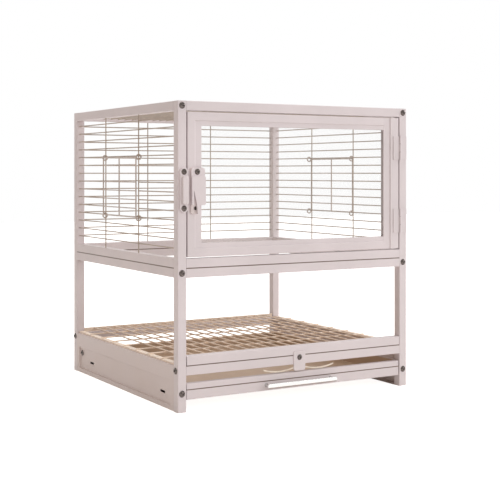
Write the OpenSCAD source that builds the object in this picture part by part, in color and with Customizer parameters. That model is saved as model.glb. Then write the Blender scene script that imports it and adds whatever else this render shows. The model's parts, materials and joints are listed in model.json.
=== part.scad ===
// Canary breeding cage on a square tube frame: glazed front door, wire walls and roof,
// an open bay below, a lift-out floor grid and a droppings drawer.
// X runs to the right, Y to the back, Z up. The floor is z = 0.

/* [Frame] */
// Width over the posts
frame_w = 450; // [380:1:700]
// Depth over the posts
frame_d = 440; // [340:1:700]
// Height from the floor to the top of the posts
frame_h = 488; // [460:1:700]
// Side of the square tube
tube = 15; // [14:0.5:20]
// Wall of the square tube
tube_wall = 1.2; // [0.8:0.1:2]
// Outer corner radius of the square tube
tube_r = 1; // [0.4:0.1:2]
// Floor to the underside of the front and back base rails
base_rail_z = 57.5; // [54:0.5:70]
// Floor to the underside of the mid rails
mid_rail_z = 210.4; // [170:0.1:215]
// Thickness of the plastic caps in the tops of the posts
cap_t = 3.6; // [2:0.1:4.5]
// Depth of the plastic plugs in the feet of the posts
foot_t = 8; // [4:0.5:14]
// Length of the screw plugs in the ends of the rails
plug_l = 12; // [8:0.5:20]
// How far the frame screws stop short of the end of their plugs
screw_short = 2; // [0:0.5:4]
// Play of caps and plugs inside their tube
plug_fit = 0.05; // [0.02:0.01:0.2]

/* [Screws] */
// Radius of a frame screw's shank
screw_r = 2.5; // [2:0.1:3]
// Radius of a frame screw's button head
head_r = 5.4; // [4:0.05:5.5]
// Height of a frame screw's button head
head_h = 3.2; // [1.8:0.1:3.2]
// Width across the flats of the hex socket
socket_w = 3; // [2:0.1:4]
// Depth of the hex socket
socket_depth = 1.6; // [1:0.1:1.8]
// Play between a screw and its hole
screw_fit = 0.05; // [0.02:0.01:0.2]
// Radius of the smaller screws' shanks
small_screw_r = 2; // [1.5:0.1:2.2]
// Radius of the smaller screws' button heads
small_head_r = 4.75; // [4:0.05:5]
// Height of the smaller screws' button heads
small_head_h = 2.6; // [1.8:0.1:3.2]
// How far the smaller screws reach past the tube's wall
small_screw_past = 3; // [1:0.5:6]
// Radius of the handle's screws
handle_screw_r = 1.6; // [1.2:0.1:1.8]
// Thickness of the handle screws' heads
handle_head_t = 1.2; // [0.8:0.1:2]

/* [Wires] */
// Radius of the wall and roof wires
wire_r = 1; // [0.8:0.05:1.3]
// Distance from one wire to the next
wire_pitch = 14.74; // [12:0.02:20]
// Top of the sill to the lowest wire
wire_first = 15.7; // [8:0.1:20]
// Outer face of the tube to the middle of the crosswise wires
wire_inset = 5.5; // [5:0.1:8]
// Half the distance between the two stiffening wires of a wall
stay_offset = 70.2; // [60:0.1:90]
// How far the side walls' stiffening wires sit behind the middle
side_stay_shift = 4.6; // [0:0.1:10]
// How far the back wall's stiffening wires sit to the left of the middle
back_stay_shift = 2.4; // [0:0.1:10]
// How deep crossing wires sink into each other at their weld
weld = 0.3; // [0.2:0.05:0.4]
// Length of wire end held inside a tube
wire_grip = 4; // [2:0.5:5]
// Play of a wire end in its hole
wire_fit = 0.05; // [0.02:0.01:0.1]
// Top of the top rails to the middle of the roof wires
roof_drop = 10; // [7:0.5:11]

/* [Front door] */
// Gap round the front door
door_gap = 2; // [1.2:0.1:2.5]
// Depth of the door profile, front to back
door_t = 12; // [10.5:0.5:14]
// Width of the proud face of the door's left, top and bottom members
door_face = 13.9; // [12:0.1:18]
// Width of the stepped-back lip that holds the pane, along the top and bottom
door_lip = 7.6; // [7:0.1:12]
// Width of the left stile's lip
left_lip = 12; // [7:0.1:14]
// Width of the proud face of the hinge stile
stile_face = 17.9; // [15:0.1:22]
// Width of the hinge stile's lip
stile_lip = 13.7; // [9:0.1:16]
// How far the lip stands back from the door's face
lip_step = 1.9; // [0.8:0.1:2.4]
// Thickness of the lip in front of the pane
lip_t = 3.1; // [2.5:0.1:4]
// Thickness of the pane
pane_t = 3; // [2:0.1:4]
// Thickness of the lip behind the pane
back_lip_t = 1.5; // [1:0.1:2]
// Play round the edge of the pane
pane_play = 0.3; // [0.1:0.1:1]

/* [Door hinges] */
// Height of the middle of the lower hinge above the sill
hinge_low = 50.5; // [40:0.5:70]
// Top of the door to the middle of the upper hinge
hinge_high = 52.4; // [40:0.1:70]
// Length of each hinge
hinge_l = 42; // [36:1:54]
// Width of each hinge leaf
leaf_w = 12; // [9:0.1:12.4]
// Thickness of each hinge leaf
leaf_t = 1.5; // [1:0.1:1.8]
// Radius of the hinge knuckles
knuckle_r = 2; // [1.8:0.05:2.2]
// Radius of the hinge pins
pin_r = 1.1; // [0.8:0.05:1.2]
// Running play of the hinge pins
pin_fit = 0.05; // [0.02:0.01:0.1]
// Play between knuckles, and between a knuckle and what it passes
knuckle_gap = 0.3; // [0.2:0.05:0.5]

/* [Door latch] */
// Height of the keeper's and lever's upper screw above the sill
latch_z = 136.3; // [110:0.1:150]
// Distance between the two screws of the keeper
latch_pitch = 57.3; // [50:0.1:65]
// Width of the keeper
keeper_w = 14.2; // [12:0.1:14.4]
// Middle of the post to the middle of the keeper, towards the door
keeper_shift = 1.95; // [0:0.05:2]
// Height of the keeper beyond each screw
keeper_end = 6.4; // [5.5:0.1:8]
// Thickness of the keeper's ears and of the lever's base plate
keeper_t = 3; // [1.5:0.1:3.5]
// Corner radius of the keeper
keeper_r = 6.4; // [2:0.1:6.5]
// Width of the keeper's raised rib
rib_w = 10.6; // [8:0.1:11]
// Length of the keeper's raised rib
rib_l = 43.5; // [30:0.5:44]
// Side of the keeper by the door to the near side of the rib
rib_edge = 0.5; // [0.1:0.1:0.8]
// Corner radius of the rib
rib_r = 1.5; // [0.5:0.1:3]
// How far the rib and the lever stand out from the frame's face
rib_out = 7.5; // [5:0.1:8]
// Door edge to the lever's pivot
lever_x = 14.9; // [13:0.1:17]
// Door edge to the near side of the lever's base plate
lever_plate_x = 4.4; // [1:0.1:4.6]
// Width of the lever's base plate
lever_plate_w = 24.2; // [20:0.1:26]
// How far the base plate reaches below the keeper
base_low = 2.2; // [0:0.1:8]
// Corner radius of the base plate and the lever
latch_r = 3; // [1:0.1:4]
// Lever's pivot to the base plate's lower screw, sideways
lower_screw_shift = 2.1; // [2:0.1:4.5]
// Radius of the base plate's lower screw
lower_screw_r = 1.5; // [1.2:0.1:1.6]
// Depth of the lower screw's flush head
lower_head_t = 1; // [0.6:0.1:1.2]
// Thickness of the lever's ear
ear_t = 1.5; // [1:0.1:2]
// Play in front of and behind the lever's ear
ear_gap = 0.2; // [0.1:0.05:0.3]
// Lever's pivot to the top of its ear
ear_top = 5.9; // [5:0.1:6.4]
// Length of the lever below its pivot
lever_l = 66; // [60:0.5:72]
// Lever's pivot to the top of its thick part
lever_drop = 7; // [5.6:0.1:9]
// Length of the tail below the lever's thick part
tail_l = 13.5; // [12:0.5:18]
// Width of the tail where it leaves the thick part
tail_w = 5.4; // [4:0.1:8]
// Width of the tail's tip
tail_tip_w = 2.4; // [1.5:0.1:3]
// Width of the thin finger beside the tail
finger_w = 4; // [2.5:0.1:4.5]
// Lever's pivot to the top of the gap beside the finger
finger_top = 27; // [20:0.5:36]
// Width of the gap between the finger and the tail
finger_gap = 4.6; // [3:0.1:6]

/* [Feeder doors] */
// Number of the lower wire, counted up from the sill, that each feeder door slides along
feeder_row = 3; // [2:1:4]
// Number of wire spaces between the two wires that it slides along
feeder_rows = 7; // [4:1:8]
// Front stiffening wire to the front rings of a closed feeder door
feeder_gap = 3.4; // [3:0.1:6]
// Back stiffening wire to the back rings of a closed feeder door
feeder_over = 7.2; // [3:0.1:20]
// Radius of the wires that frame each feeder door
feeder_r = 1.2; // [0.8:0.05:1.3]
// Play between a feeder door and the stiffening wires that it passes
feeder_fit = 0.3; // [0.1:0.05:0.6]
// Play between the rings and the wires that they hang on
ring_fit = 0.2; // [0.1:0.05:0.4]

/* [Floor grid] */
// Distance between the front-to-back grid wires
grid_pitch = 20.8; // [15:0.1:30]
// Distance between the crosswise grid wires
grid_cross_pitch = 50; // [40:1:70]
// Radius of the grid wires
grid_r = 1.25; // [1:0.05:1.5]
// Thickness of the flat bars that carry the grid's sides
grid_bar_t = 2.5; // [1.5:0.1:3]
// Width of the flat bars that carry the grid's sides
grid_bar_w = 10; // [6:0.5:11]
// Height of the upright strip along the back of the grid
grid_strip_h = 7.5; // [6.5:0.1:12]
// Thickness of the upright strip
grid_strip_t = 3; // [2:0.1:4]
// Front of the back rail to the upright strip
grid_strip_set = 2; // [0.5:0.1:8]
// Play between the grid and the posts
grid_gap = 1; // [0.5:0.1:2]

/* [Base] */
// Thickness of the side plates
plate_t = 1.2; // [0.8:0.1:1.6]
// Depth of the pressed panel in each side plate
press_depth = 3; // [2:0.1:4]
// Floor to the bottom of the pressed panel
press_low = 9; // [6:0.5:12]
// Floor to the top of the pressed panel
press_high = 47; // [46:0.5:52]
// Front post to the pressed panel, and back post to it
press_end = 12; // [8:1:30]
// Corner radius of the pressed panel
press_r = 4; // [3:0.5:8]
// Length of the slots in the side plates
slot_l = 18; // [10:1:30]
// Width of the slots in the side plates
slot_w = 4; // [3:0.5:6]
// Floor to the middle of the slots
slot_z = 24.4; // [20:0.1:28]
// Front of the frame to the front slot
slot_front = 60; // [50:1:100]
// Back of the frame to the back slot
slot_back = 82; // [60:1:120]
// Back of the frame to the side plate's screw
plate_screw_back = 36; // [34:1:50]
// Floor to the side plate's screw
plate_screw_z = 37; // [34:0.5:40]

/* [Drawer] */
// Floor to the top of the runner lips, where the drawer slides
runner_z = 18; // [14:0.5:18]
// Thickness of the runners
runner_t = 1.5; // [1:0.1:2]
// Inner face of the posts to the runners' webs
runner_set = 0.6; // [0.2:0.1:1]
// Width of the lip under each side of the drawer
runner_lip = 12.5; // [8:0.5:16]
// Floor to the top of the runners
runner_top = 45; // [40:0.5:45]
// Floor to the middle of the runner screws
runner_screw_z = 29.6; // [26:0.1:34]
// Gap between the drawer front and each post
drawer_gap = 1.5; // [1:0.1:3]
// Gap between the drawer tray and the inner face of each post
tray_gap = 2; // [1.8:0.1:4]
// How far the drawer front stands back from the posts
drawer_set = 1.5; // [0:0.1:3]
// Floor to the underside of the drawer front
drawer_low = 19; // [18.5:0.5:22]
// Floor to the top of the drawer front
drawer_high = 45; // [42:0.5:46]
// Depth of the folded drawer front
drawer_front_t = 8; // [5:0.5:12]
// Thickness of the drawer's sheet metal
sheet = 1.2; // [0.8:0.1:1.6]
// Floor to the groove along the drawer front
groove_z = 34.5; // [33:0.5:38]
// Width and depth of the groove
groove = 0.6; // [0.3:0.1:0.8]
// Top of the drawer front to the top of the tray
tray_drop = 1; // [0:0.5:4]
// Back of the frame to the back of the tray
tray_back = 25; // [18:1:60]
// Length of the handle
handle_l = 136; // [80:1:200]
// Height of the handle's bar
handle_h = 8; // [6:0.5:10]
// Thickness of the handle's bar
handle_t = 4; // [3:0.5:6]
// Corner radius of the ends of the handle's bar
handle_r = 2.9; // [0.5:0.1:2.9]
// Drawer face to the front of the handle
handle_out = 15; // [12:0.5:20]
// Floor to the middle of the handle
handle_z = 28.4; // [26:0.1:30]
// Radius of the handle's standoffs
standoff_r = 3; // [2.5:0.1:3.4]
// End of the handle to the middle of each standoff
standoff_in = 5; // [4:0.5:20]

/* [Catch] */
// Width of the catch plate
catch_w = 23; // [18:0.5:30]
// Floor to the bottom of the catch plate
catch_low = 47; // [46.5:0.1:49]
// Height of the catch plate
catch_h = 32.5; // [31:0.5:36]
// Thickness of the catch plate
catch_t = 1.5; // [1:0.1:2.5]
// Corner radius of the catch plate
catch_r = 4; // [2:0.1:6]
// Top of the base rail to the middle of the catch screw
catch_screw_drop = 3.5; // [3.3:0.1:7]
// Radius of the catch wire
catch_wire_r = 1.3; // [1:0.1:1.4]
// Length of each bowed arm of the catch wire
catch_arm = 58; // [40:1:80]
// How far each arm bows down
catch_bow = 4.3; // [2:0.1:4.5]
// Side of the catch plate to the start of each arm
catch_inset = 1.5; // [0:0.1:4]
// Top of the drawer front to the middle of the lowest wire
catch_clear = 3.2; // [1.6:0.1:3.4]

/* [Hidden] */

// Paint, bare metal and plastic
paint = "#dcd0cd";
shade_paint = "#c9bab4";
wire_grey = "#a8998c";
screw_grey = "#4a4846";
bright_metal = "#f0eeea";
cream = "#e8dcc8";
cap_grey = "#8d8782";
pane_clear = [0.85, 0.9, 0.9, 0.35];

// The front of the handle and the heads of the back screws are equally far from y = 0
handle_reach = handle_out - drawer_set;
y_front = -frame_d / 2 + (handle_reach - head_h) / 2;
y_back = y_front + frame_d;
y_mid = (y_front + y_back) / 2;
x_out = frame_w / 2;
x_in = x_out - tube;
y_in_front = y_front + tube;
y_in_back = y_back - tube;
rail_len_x = 2 * x_in;
rail_len_y = y_in_back - y_in_front;
top_rail_z = frame_h - tube;
sill_z = mid_rail_z + tube;
sill_top = sill_z + tube;
base_top = base_rail_z + tube;
cavity = tube - 2 * tube_wall;
plug_w = cavity - 2 * plug_fit;

// Heights of the screws that hold the side rails, and the crosswise base rails
top_screw_z = top_rail_z + tube / 2;
mid_screw_z = mid_rail_z + tube / 2;
base_screw_z = base_rail_z + tube / 2;
screw_heights = [top_screw_z, mid_screw_z, runner_screw_z];
hole_r = screw_r + screw_fit;
small_hole_r = small_screw_r + screw_fit;
lower_hole_r = lower_screw_r + screw_fit;
handle_hole_r = handle_screw_r + screw_fit;
frame_screw_l = tube + plug_l - screw_short;

// How far a cut runs past the surface that it opens
past = 1;

// Wire walls
wire_x = x_out - wire_inset;
wire_back_y = y_back - wire_inset;
cross_step = 2 * wire_r - weld;
stay_x = wire_x + cross_step;
stay_back_y = wire_back_y + cross_step;
row_low = sill_top + wire_first;
row_count = floor((top_rail_z - row_low - 2 * wire_r) / wire_pitch) + 1;
rows = [for (i = [0 : row_count - 1]) row_low + i * wire_pitch];
roof_z = frame_h - roof_drop;
roof_count = floor((2 * x_in - wire_pitch) / wire_pitch) + 1;
roof_x = [for (i = [0 : roof_count - 1]) (i - (roof_count - 1) / 2) * wire_pitch];
roof_stays = [-stay_offset, stay_offset];
side_stays = [side_stay_shift - stay_offset, side_stay_shift + stay_offset];
back_stays = [-back_stay_shift - stay_offset, -back_stay_shift + stay_offset];
wire_hole_r = wire_r + wire_fit;

// Front door
door_x = x_in - door_gap;
door_low = sill_top + door_gap;
door_high = top_rail_z - door_gap;
door_h = door_high - door_low;
member_w = door_face + door_lip;
left_w = door_face + left_lip;
stile_w = stile_face + stile_lip;
cross_len = 2 * door_x - stile_w;
pane_front = lip_step + lip_t;
pane_back = pane_front + pane_t;

// Door hinges
hinge_x = x_in + knuckle_r - door_gap;
hinge_y = y_front - knuckle_r - knuckle_gap;
hinge_z = [sill_top + hinge_low, door_high - hinge_high];
knuckle_l = hinge_l / 3;

// Latch
keeper_z = sill_top + latch_z;
keeper_h = latch_pitch + 2 * keeper_end;
post_mid_x = x_out - tube / 2;
keeper_x = keeper_shift - post_mid_x;
rib_x = keeper_x + keeper_w / 2 - rib_edge - rib_w;
lever_pivot_x = lever_x - door_x;
lever_face = rib_out - keeper_t - ear_gap;
lower_screw_x = lever_pivot_x - lower_screw_shift;
lower_screw_z = keeper_z - latch_pitch;
latch_ear_y = y_front - keeper_t - ear_gap;
lever_left = lever_plate_x - lever_x;

// Feeder doors
feeder_low = rows[feeder_row];
feeder_high = rows[feeder_row + feeder_rows];
feeder_front = y_mid + side_stays[0] + feeder_gap;
feeder_back = y_mid + side_stays[1] + feeder_over;
ring_r = cross_step + wire_r + feeder_fit + feeder_r;
ring_drop = ring_r - feeder_r - ring_fit - wire_r;
feeder_bar_x = wire_x + ring_r;

// Floor grid
grid_x = x_in - grid_gap;
grid_bar_z = base_top + grid_bar_t;
grid_cross_z = grid_bar_z + grid_r - weld;
grid_long_z = grid_cross_z + 2 * grid_r - weld;
grid_back_y = y_in_back + grid_strip_set;
grid_count = floor((2 * x_in - 1.5 * grid_pitch) / grid_pitch) + 1;
grid_long_x = [for (i = [0 : grid_count - 1]) (i - (grid_count - 1) / 2) * grid_pitch];
grid_cross_count = floor(rail_len_y / grid_cross_pitch - 1.5) + 1;
grid_cross_y = [for (i = [0 : grid_cross_count - 1])
    y_mid + (i - (grid_cross_count - 1) / 2) * grid_cross_pitch];

// Side plates and runners
press_y0 = y_in_front + press_end;
press_y1 = y_in_back - press_end;
press_floor_x = x_out - press_depth - plate_t;
runner_web_x = x_in - runner_set;
runner_back_x = runner_web_x + runner_t;
runner_low = runner_z - runner_t;
plate_screw_y = y_back - plate_screw_back;

// Drawer
drawer_x = x_in - drawer_gap;
drawer_y = y_front + drawer_set;
tray_x = x_in - tray_gap;
tray_y0 = drawer_y + drawer_front_t;
tray_y1 = y_back - tray_back;
tray_high = drawer_high - tray_drop;
handle_y = drawer_y - handle_out;
standoff_x = handle_l / 2 - standoff_in;

// Catch
catch_screw_z = base_top - catch_screw_drop;
catch_root_x = catch_w / 2 - catch_inset;
catch_curve_r = (pow(catch_arm / 2, 2) + pow(catch_bow, 2)) / (2 * catch_bow);
catch_half_angle = asin(catch_arm / 2 / catch_curve_r);
catch_wire_z = drawer_high + catch_clear + catch_bow;
catch_wire_y = y_front + catch_wire_r;

// ---- shapes that repeat ----

// A rectangle from the origin with round corners
module round_rect(w, h, r) {
    translate([r, 0]) square([w - 2 * r, h]);
    translate([0, r]) square([w, h - 2 * r]);
    for (x = [r, w - r], y = [r, h - r]) translate([x, y]) circle(r = r, $fn = 32);
}

module tube_profile() {
    difference() {
        round_rect(tube, tube, tube_r);
        translate([tube_wall, tube_wall]) square(cavity);
    }
}

// Square tubes that start at the origin corner and run up, right or back
module tube_up(length) linear_extrude(length) tube_profile();
module tube_right(length) rotate([90, 0, 90]) linear_extrude(length) tube_profile();
module tube_deep(length) translate([0, 0, tube]) rotate([-90, 0, 0]) linear_extrude(length) tube_profile();

// Round bars from the origin to the right and to the back
module bar_right(length, r) rotate([0, 90, 0]) cylinder(h = length, r = r, $fn = 32);
module bar_deep(length, r) rotate([-90, 0, 0]) cylinder(h = length, r = r, $fn = 32);

module both_sides() {
    children();
    mirror([1, 0, 0]) children();
}

// Copies at the front and at the back, mirrored about the middle of the frame
module both_ends() {
    children();
    translate([0, 2 * y_mid, 0]) mirror([0, 1, 0]) children();
}

// Screw with a button head above z = 0 and its shank below
module button_screw(r, length, head = head_r, high = head_h) {
    dome_r = (head * head + high * high) / (2 * high);
    difference() {
        union() {
            rotate_extrude($fn = 48) intersection() {
                translate([0, high - dome_r]) circle(r = dome_r, $fn = 96);
                square([head, high]);
            }
            translate([0, 0, -length]) cylinder(h = length, r = r, $fn = 32);
        }
        translate([0, 0, high - socket_depth])
            cylinder(h = high, r = socket_w / sqrt(3), $fn = 6);
    }
}

// Screws driven to the back, from the front, and inwards, from the right
module screw_deep(r, length) rotate([90, 0, 0]) button_screw(r, length);
module screw_inward(r, length) rotate([0, 90, 0]) button_screw(r, length);
module small_screw_deep(length)
    rotate([90, 0, 0]) button_screw(small_screw_r, length, small_head_r, small_head_h);

// ---- frame ----

// The front left post; the others are mirrored from it, the back ones with holes for the back wires
module plain_post(back_holes) {
    difference() {
        translate([-x_out, y_front, 0]) tube_up(frame_h);
        for (z = rows) translate([-wire_x, y_front + tube / 2, z]) bar_deep(tube, wire_hole_r);
        if (back_holes)
            for (z = rows) translate([-post_mid_x, y_front + wire_inset, z]) bar_right(tube, wire_hole_r);
        for (z = screw_heights) translate([-post_mid_x, y_front - past, z]) bar_deep(tube + 2 * past, hole_r);
        translate([-x_out - past, y_front + tube / 2, base_screw_z]) bar_right(tube + 2 * past, hole_r);
    }
}

module front_left_post() {
    color(paint) difference() {
        plain_post(false);
        for (z = [keeper_z, keeper_z - latch_pitch])
            translate([keeper_x, y_front - past, z]) bar_deep(tube / 2, small_hole_r);
    }
}

module front_right_post() color(paint) mirror([1, 0, 0]) plain_post(false);
module back_left_post()
    color(paint) translate([0, 2 * y_mid, 0]) mirror([0, 1, 0]) plain_post(true);
module back_right_post() mirror([1, 0, 0]) back_left_post();

module post_plug(height) {
    both_ends() both_sides()
        translate([-x_out + tube_wall + plug_fit, y_front + tube_wall + plug_fit, 0])
            cube([plug_w, plug_w, height]);
}

module post_caps() color(cap_grey) translate([0, 0, frame_h - cap_t]) post_plug(cap_t);
module foot_plugs() color(cap_grey) post_plug(foot_t);

module top_front_rail() {
    color(paint) difference() {
        translate([-x_in, y_front, top_rail_z]) tube_right(rail_len_x);
        for (x = roof_x) translate([x, y_front + tube / 2, roof_z]) bar_deep(tube, wire_hole_r);
    }
}

module top_back_rail() translate([0, 2 * y_mid, 0]) mirror([0, 1, 0]) top_front_rail();

module top_left_rail() {
    color(paint) difference() {
        translate([-x_out, y_in_front, top_rail_z]) tube_deep(rail_len_y);
        for (y = roof_stays)
            translate([-post_mid_x, y_mid + y, roof_z + cross_step]) bar_right(tube, wire_hole_r);
        for (y = side_stays) translate([-stay_x, y_mid + y, top_rail_z - past])
            cylinder(h = tube / 2, r = wire_hole_r, $fn = 32);
    }
}

module top_right_rail() mirror([1, 0, 0]) top_left_rail();

// The sills carry the door and the wire walls; the mid rails below them are screwed to the posts
module sill_front() color(paint) translate([-x_in, y_front, sill_z]) tube_right(rail_len_x);

module sill_back() {
    color(paint) difference() {
        translate([-x_in, y_in_back, sill_z]) tube_right(rail_len_x);
        for (x = back_stays) translate([x, stay_back_y, sill_top - tube / 2])
            cylinder(h = tube, r = wire_hole_r, $fn = 32);
    }
}

module sill_left() {
    color(paint) difference() {
        translate([-x_out, y_in_front, sill_z]) tube_deep(rail_len_y);
        for (y = side_stays) translate([-stay_x, y_mid + y, sill_top - tube / 2])
            cylinder(h = tube, r = wire_hole_r, $fn = 32);
    }
}

module sill_right() mirror([1, 0, 0]) sill_left();

module mid_front_rail() color(paint) translate([-x_in, y_front, mid_rail_z]) tube_right(rail_len_x);
module mid_back_rail() color(paint) translate([-x_in, y_in_back, mid_rail_z]) tube_right(rail_len_x);
module mid_left_rail() color(paint) translate([-x_out, y_in_front, mid_rail_z]) tube_deep(rail_len_y);
module mid_right_rail() mirror([1, 0, 0]) mid_left_rail();

module base_front_rail() {
    color(paint) difference() {
        translate([-x_in, y_front, base_rail_z]) tube_right(rail_len_x);
        translate([0, y_front - past, catch_screw_z]) bar_deep(tube / 2, small_hole_r);
    }
}

module base_back_rail() color(paint) translate([-x_in, y_in_back, base_rail_z]) tube_right(rail_len_x);

// Blocks in the ends of the screwed rails, each with the hole that its screw bites in
module rail_plugs() {
    color(cap_grey) both_ends() both_sides() {
        for (z = [top_rail_z, mid_rail_z]) difference() {
            translate([-x_out + tube_wall + plug_fit, y_in_front, z + tube_wall + plug_fit])
                cube([plug_w, plug_l, plug_w]);
            translate([-post_mid_x, y_in_front - past, z + tube / 2]) bar_deep(plug_l + 2 * past, hole_r);
        }
        difference() {
            translate([-x_in, y_front + tube_wall + plug_fit, base_rail_z + tube_wall + plug_fit])
                cube([plug_l, plug_w, plug_w]);
            translate([-x_in - past, y_front + tube / 2, base_screw_z]) bar_right(plug_l + 2 * past, hole_r);
        }
    }
}

// Screws through the posts: into the side rails and runners, and into the crosswise base rails
module frame_screws() {
    color(screw_grey) both_ends() both_sides() {
        for (z = screw_heights) translate([post_mid_x, y_front, z]) screw_deep(screw_r, frame_screw_l);
        translate([x_out, y_front + tube / 2, base_screw_z]) screw_inward(screw_r, frame_screw_l);
    }
}

// ---- base ----

// Outline of the pressed panel, seen from the side
module press_outline(grow) {
    translate([press_y0 - grow, press_low - grow])
        round_rect(press_y1 - press_y0 + 2 * grow, press_high - press_low + 2 * grow, press_r + grow);
}

module slot_outline() {
    square([slot_l - slot_w, slot_w], center = true);
    for (side = [-1, 1]) translate([side * (slot_l - slot_w) / 2, 0]) circle(d = slot_w, $fn = 32);
}

// Stands an outline drawn in Y and Z on the plane at x
module on_side(x, thick) translate([x, 0, 0]) rotate([90, 0, 90]) linear_extrude(thick) children();

// The right side plate: a folded sheet with a pressed panel, slots and one screw hole
module right_side_plate() {
    color(shade_paint) difference() {
        union() {
            difference() {
                translate([x_out - plate_t, y_in_front, 0]) cube([plate_t, rail_len_y, base_top]);
                on_side(x_out - 2 * plate_t, 3 * plate_t) press_outline(0);
            }
            on_side(press_floor_x, press_depth + plate_t)
                difference() {
                    press_outline(plate_t);
                    press_outline(0);
                }
            on_side(press_floor_x, plate_t) press_outline(plate_t);
            for (z = [0, base_top - plate_t])
                translate([x_in, y_in_front, z]) cube([tube, rail_len_y, plate_t]);
        }
        for (y = [y_front + slot_front, y_back - slot_back])
            on_side(press_floor_x - past, plate_t + 2 * past) translate([y, slot_z]) slot_outline();
        translate([press_floor_x - past, plate_screw_y, plate_screw_z]) bar_right(plate_t + 2 * past, hole_r);
    }
}

module left_side_plate() mirror([1, 0, 0]) right_side_plate();

// The right runner: a channel against the pressed panel, with a lip under the drawer
module right_runner() {
    color(shade_paint) difference() {
        union() {
            translate([runner_web_x, y_in_front, runner_low])
                cube([runner_t, rail_len_y, runner_top - runner_low]);
            for (z = [runner_low, runner_top - runner_t])
                translate([runner_web_x, y_in_front, z])
                    cube([press_floor_x - runner_web_x, rail_len_y, runner_t]);
            translate([x_in - runner_lip, y_in_front, runner_low]) cube([runner_lip, rail_len_y, runner_t]);
        }
        translate([runner_web_x - past, plate_screw_y, plate_screw_z]) bar_right(runner_t + 2 * past, hole_r);
    }
}

module left_runner() mirror([1, 0, 0]) right_runner();

// Blocks in the ends of the runners for the lowest screws of the posts
module runner_plugs() {
    color(cap_grey) both_ends() both_sides() difference() {
        translate([runner_back_x + plug_fit, y_in_front, runner_z + plug_fit])
            cube([
                press_floor_x - runner_back_x - 2 * plug_fit,
                plug_l,
                runner_top - runner_t - runner_z - 2 * plug_fit
            ]);
        translate([post_mid_x, y_in_front - past, runner_screw_z]) bar_deep(plug_l + 2 * past, hole_r);
    }
}

// One screw through each side plate into the web of its runner
module base_screws() {
    color(screw_grey) both_sides()
        translate([press_floor_x + plate_t, plate_screw_y, plate_screw_z])
            screw_inward(screw_r, press_floor_x + plate_t - runner_web_x);
}

// ---- wire walls ----

// The right wall: rows of wire, two stiffening wires, and the hole that the feeder door closes
module right_wire_wall() {
    wire_front = y_in_front - wire_grip;
    wire_back = y_in_back + wire_grip;
    hole_front = y_mid + side_stays[0] + wire_r;
    hole_back = y_mid + side_stays[1] - wire_r;
    color(wire_grey) {
        for (i = [0 : row_count - 1])
            if (i > feeder_row && i < feeder_row + feeder_rows) {
                translate([wire_x, wire_front, rows[i]]) bar_deep(hole_front - wire_front, wire_r);
                translate([wire_x, hole_back, rows[i]]) bar_deep(wire_back - hole_back, wire_r);
            } else
                translate([wire_x, wire_front, rows[i]]) bar_deep(wire_back - wire_front, wire_r);
        for (y = side_stays) translate([stay_x, y_mid + y, sill_top - wire_grip])
            cylinder(h = top_rail_z - sill_top + 2 * wire_grip, r = wire_r, $fn = 32);
    }
}

module left_wire_wall() mirror([1, 0, 0]) right_wire_wall();

module back_wire_wall() {
    color(wire_grey) {
        for (z = rows) translate([-x_in - wire_grip, wire_back_y, z])
            bar_right(rail_len_x + 2 * wire_grip, wire_r);
        for (x = back_stays) translate([x, stay_back_y, sill_top - wire_grip])
            cylinder(h = top_rail_z - sill_top + wire_grip, r = wire_r, $fn = 32);
    }
}

module roof_wires() {
    color(wire_grey) {
        for (x = roof_x) translate([x, y_in_front - wire_grip, roof_z])
            bar_deep(rail_len_y + 2 * wire_grip, wire_r);
        for (y = roof_stays) translate([-x_in - wire_grip, y_mid + y, roof_z + cross_step])
            bar_right(rail_len_x + 2 * wire_grip, wire_r);
    }
}

// ---- front door ----

// Section of a door member: x runs in from the door's edge, y back from its face
module sash_profile(face, lip) {
    difference() {
        round_rect(face, door_t, tube_r);
        translate([tube_wall, tube_wall]) square([face - 2 * tube_wall, door_t - 2 * tube_wall]);
    }
    translate([face - tube_wall, lip_step]) square([lip + tube_wall, lip_t]);
    translate([face - tube_wall, pane_back]) square([lip + tube_wall, back_lip_t]);
}

// Keeps what lies inside an outline drawn in X and Z from the door's lower left corner
module cut_outline(points) {
    intersection() {
        children();
        translate([-door_x, y_front + door_t + past, door_low])
            rotate([90, 0, 0]) linear_extrude(door_t + 2 * past) polygon(points);
    }
}

module door_left_stile() {
    color(paint) difference() {
        cut_outline([
            [0, 0], [door_face, door_face], [left_w, member_w], [left_w, door_h - member_w],
            [door_face, door_h - door_face], [0, door_h]
        ]) translate([-door_x, y_front, door_low]) linear_extrude(door_h) sash_profile(door_face, left_lip);
        translate([lever_pivot_x, y_front - past, keeper_z]) bar_deep(pane_front + past, small_hole_r);
        translate([lower_screw_x, y_front - past, lower_screw_z]) bar_deep(door_t / 2, lower_hole_r);
    }
}

module door_hinge_stile() {
    color(paint) translate([door_x, y_front, door_low]) mirror([1, 0, 0])
        linear_extrude(door_h) sash_profile(stile_face, stile_lip);
}

// A crosswise member with its face towards the door's bottom edge
module cross_member() {
    translate([-door_x, y_front, door_low]) rotate([90, 0, 90]) linear_extrude(cross_len)
        mirror([1, -1]) sash_profile(door_face, door_lip);
}

module door_bottom_rail() {
    color(paint)
        cut_outline([
            [0, 0], [cross_len, 0], [cross_len, member_w], [left_w, member_w], [door_face, door_face]
        ]) cross_member();
}

module door_top_rail() {
    color(paint)
        cut_outline([
            [0, door_h], [door_face, door_h - door_face], [left_w, door_h - member_w],
            [cross_len, door_h - member_w], [cross_len, door_h]
        ]) translate([0, 0, door_low + door_high]) mirror([0, 0, 1]) cross_member();
}

module door_pane() {
    edge = door_face + pane_play;
    color(pane_clear) translate([-door_x + edge, y_front + pane_front, door_low + edge])
        cube([2 * door_x - edge - stile_face - pane_play, pane_t, door_h - 2 * edge]);
}

// ---- hinges of the front door ----

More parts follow.
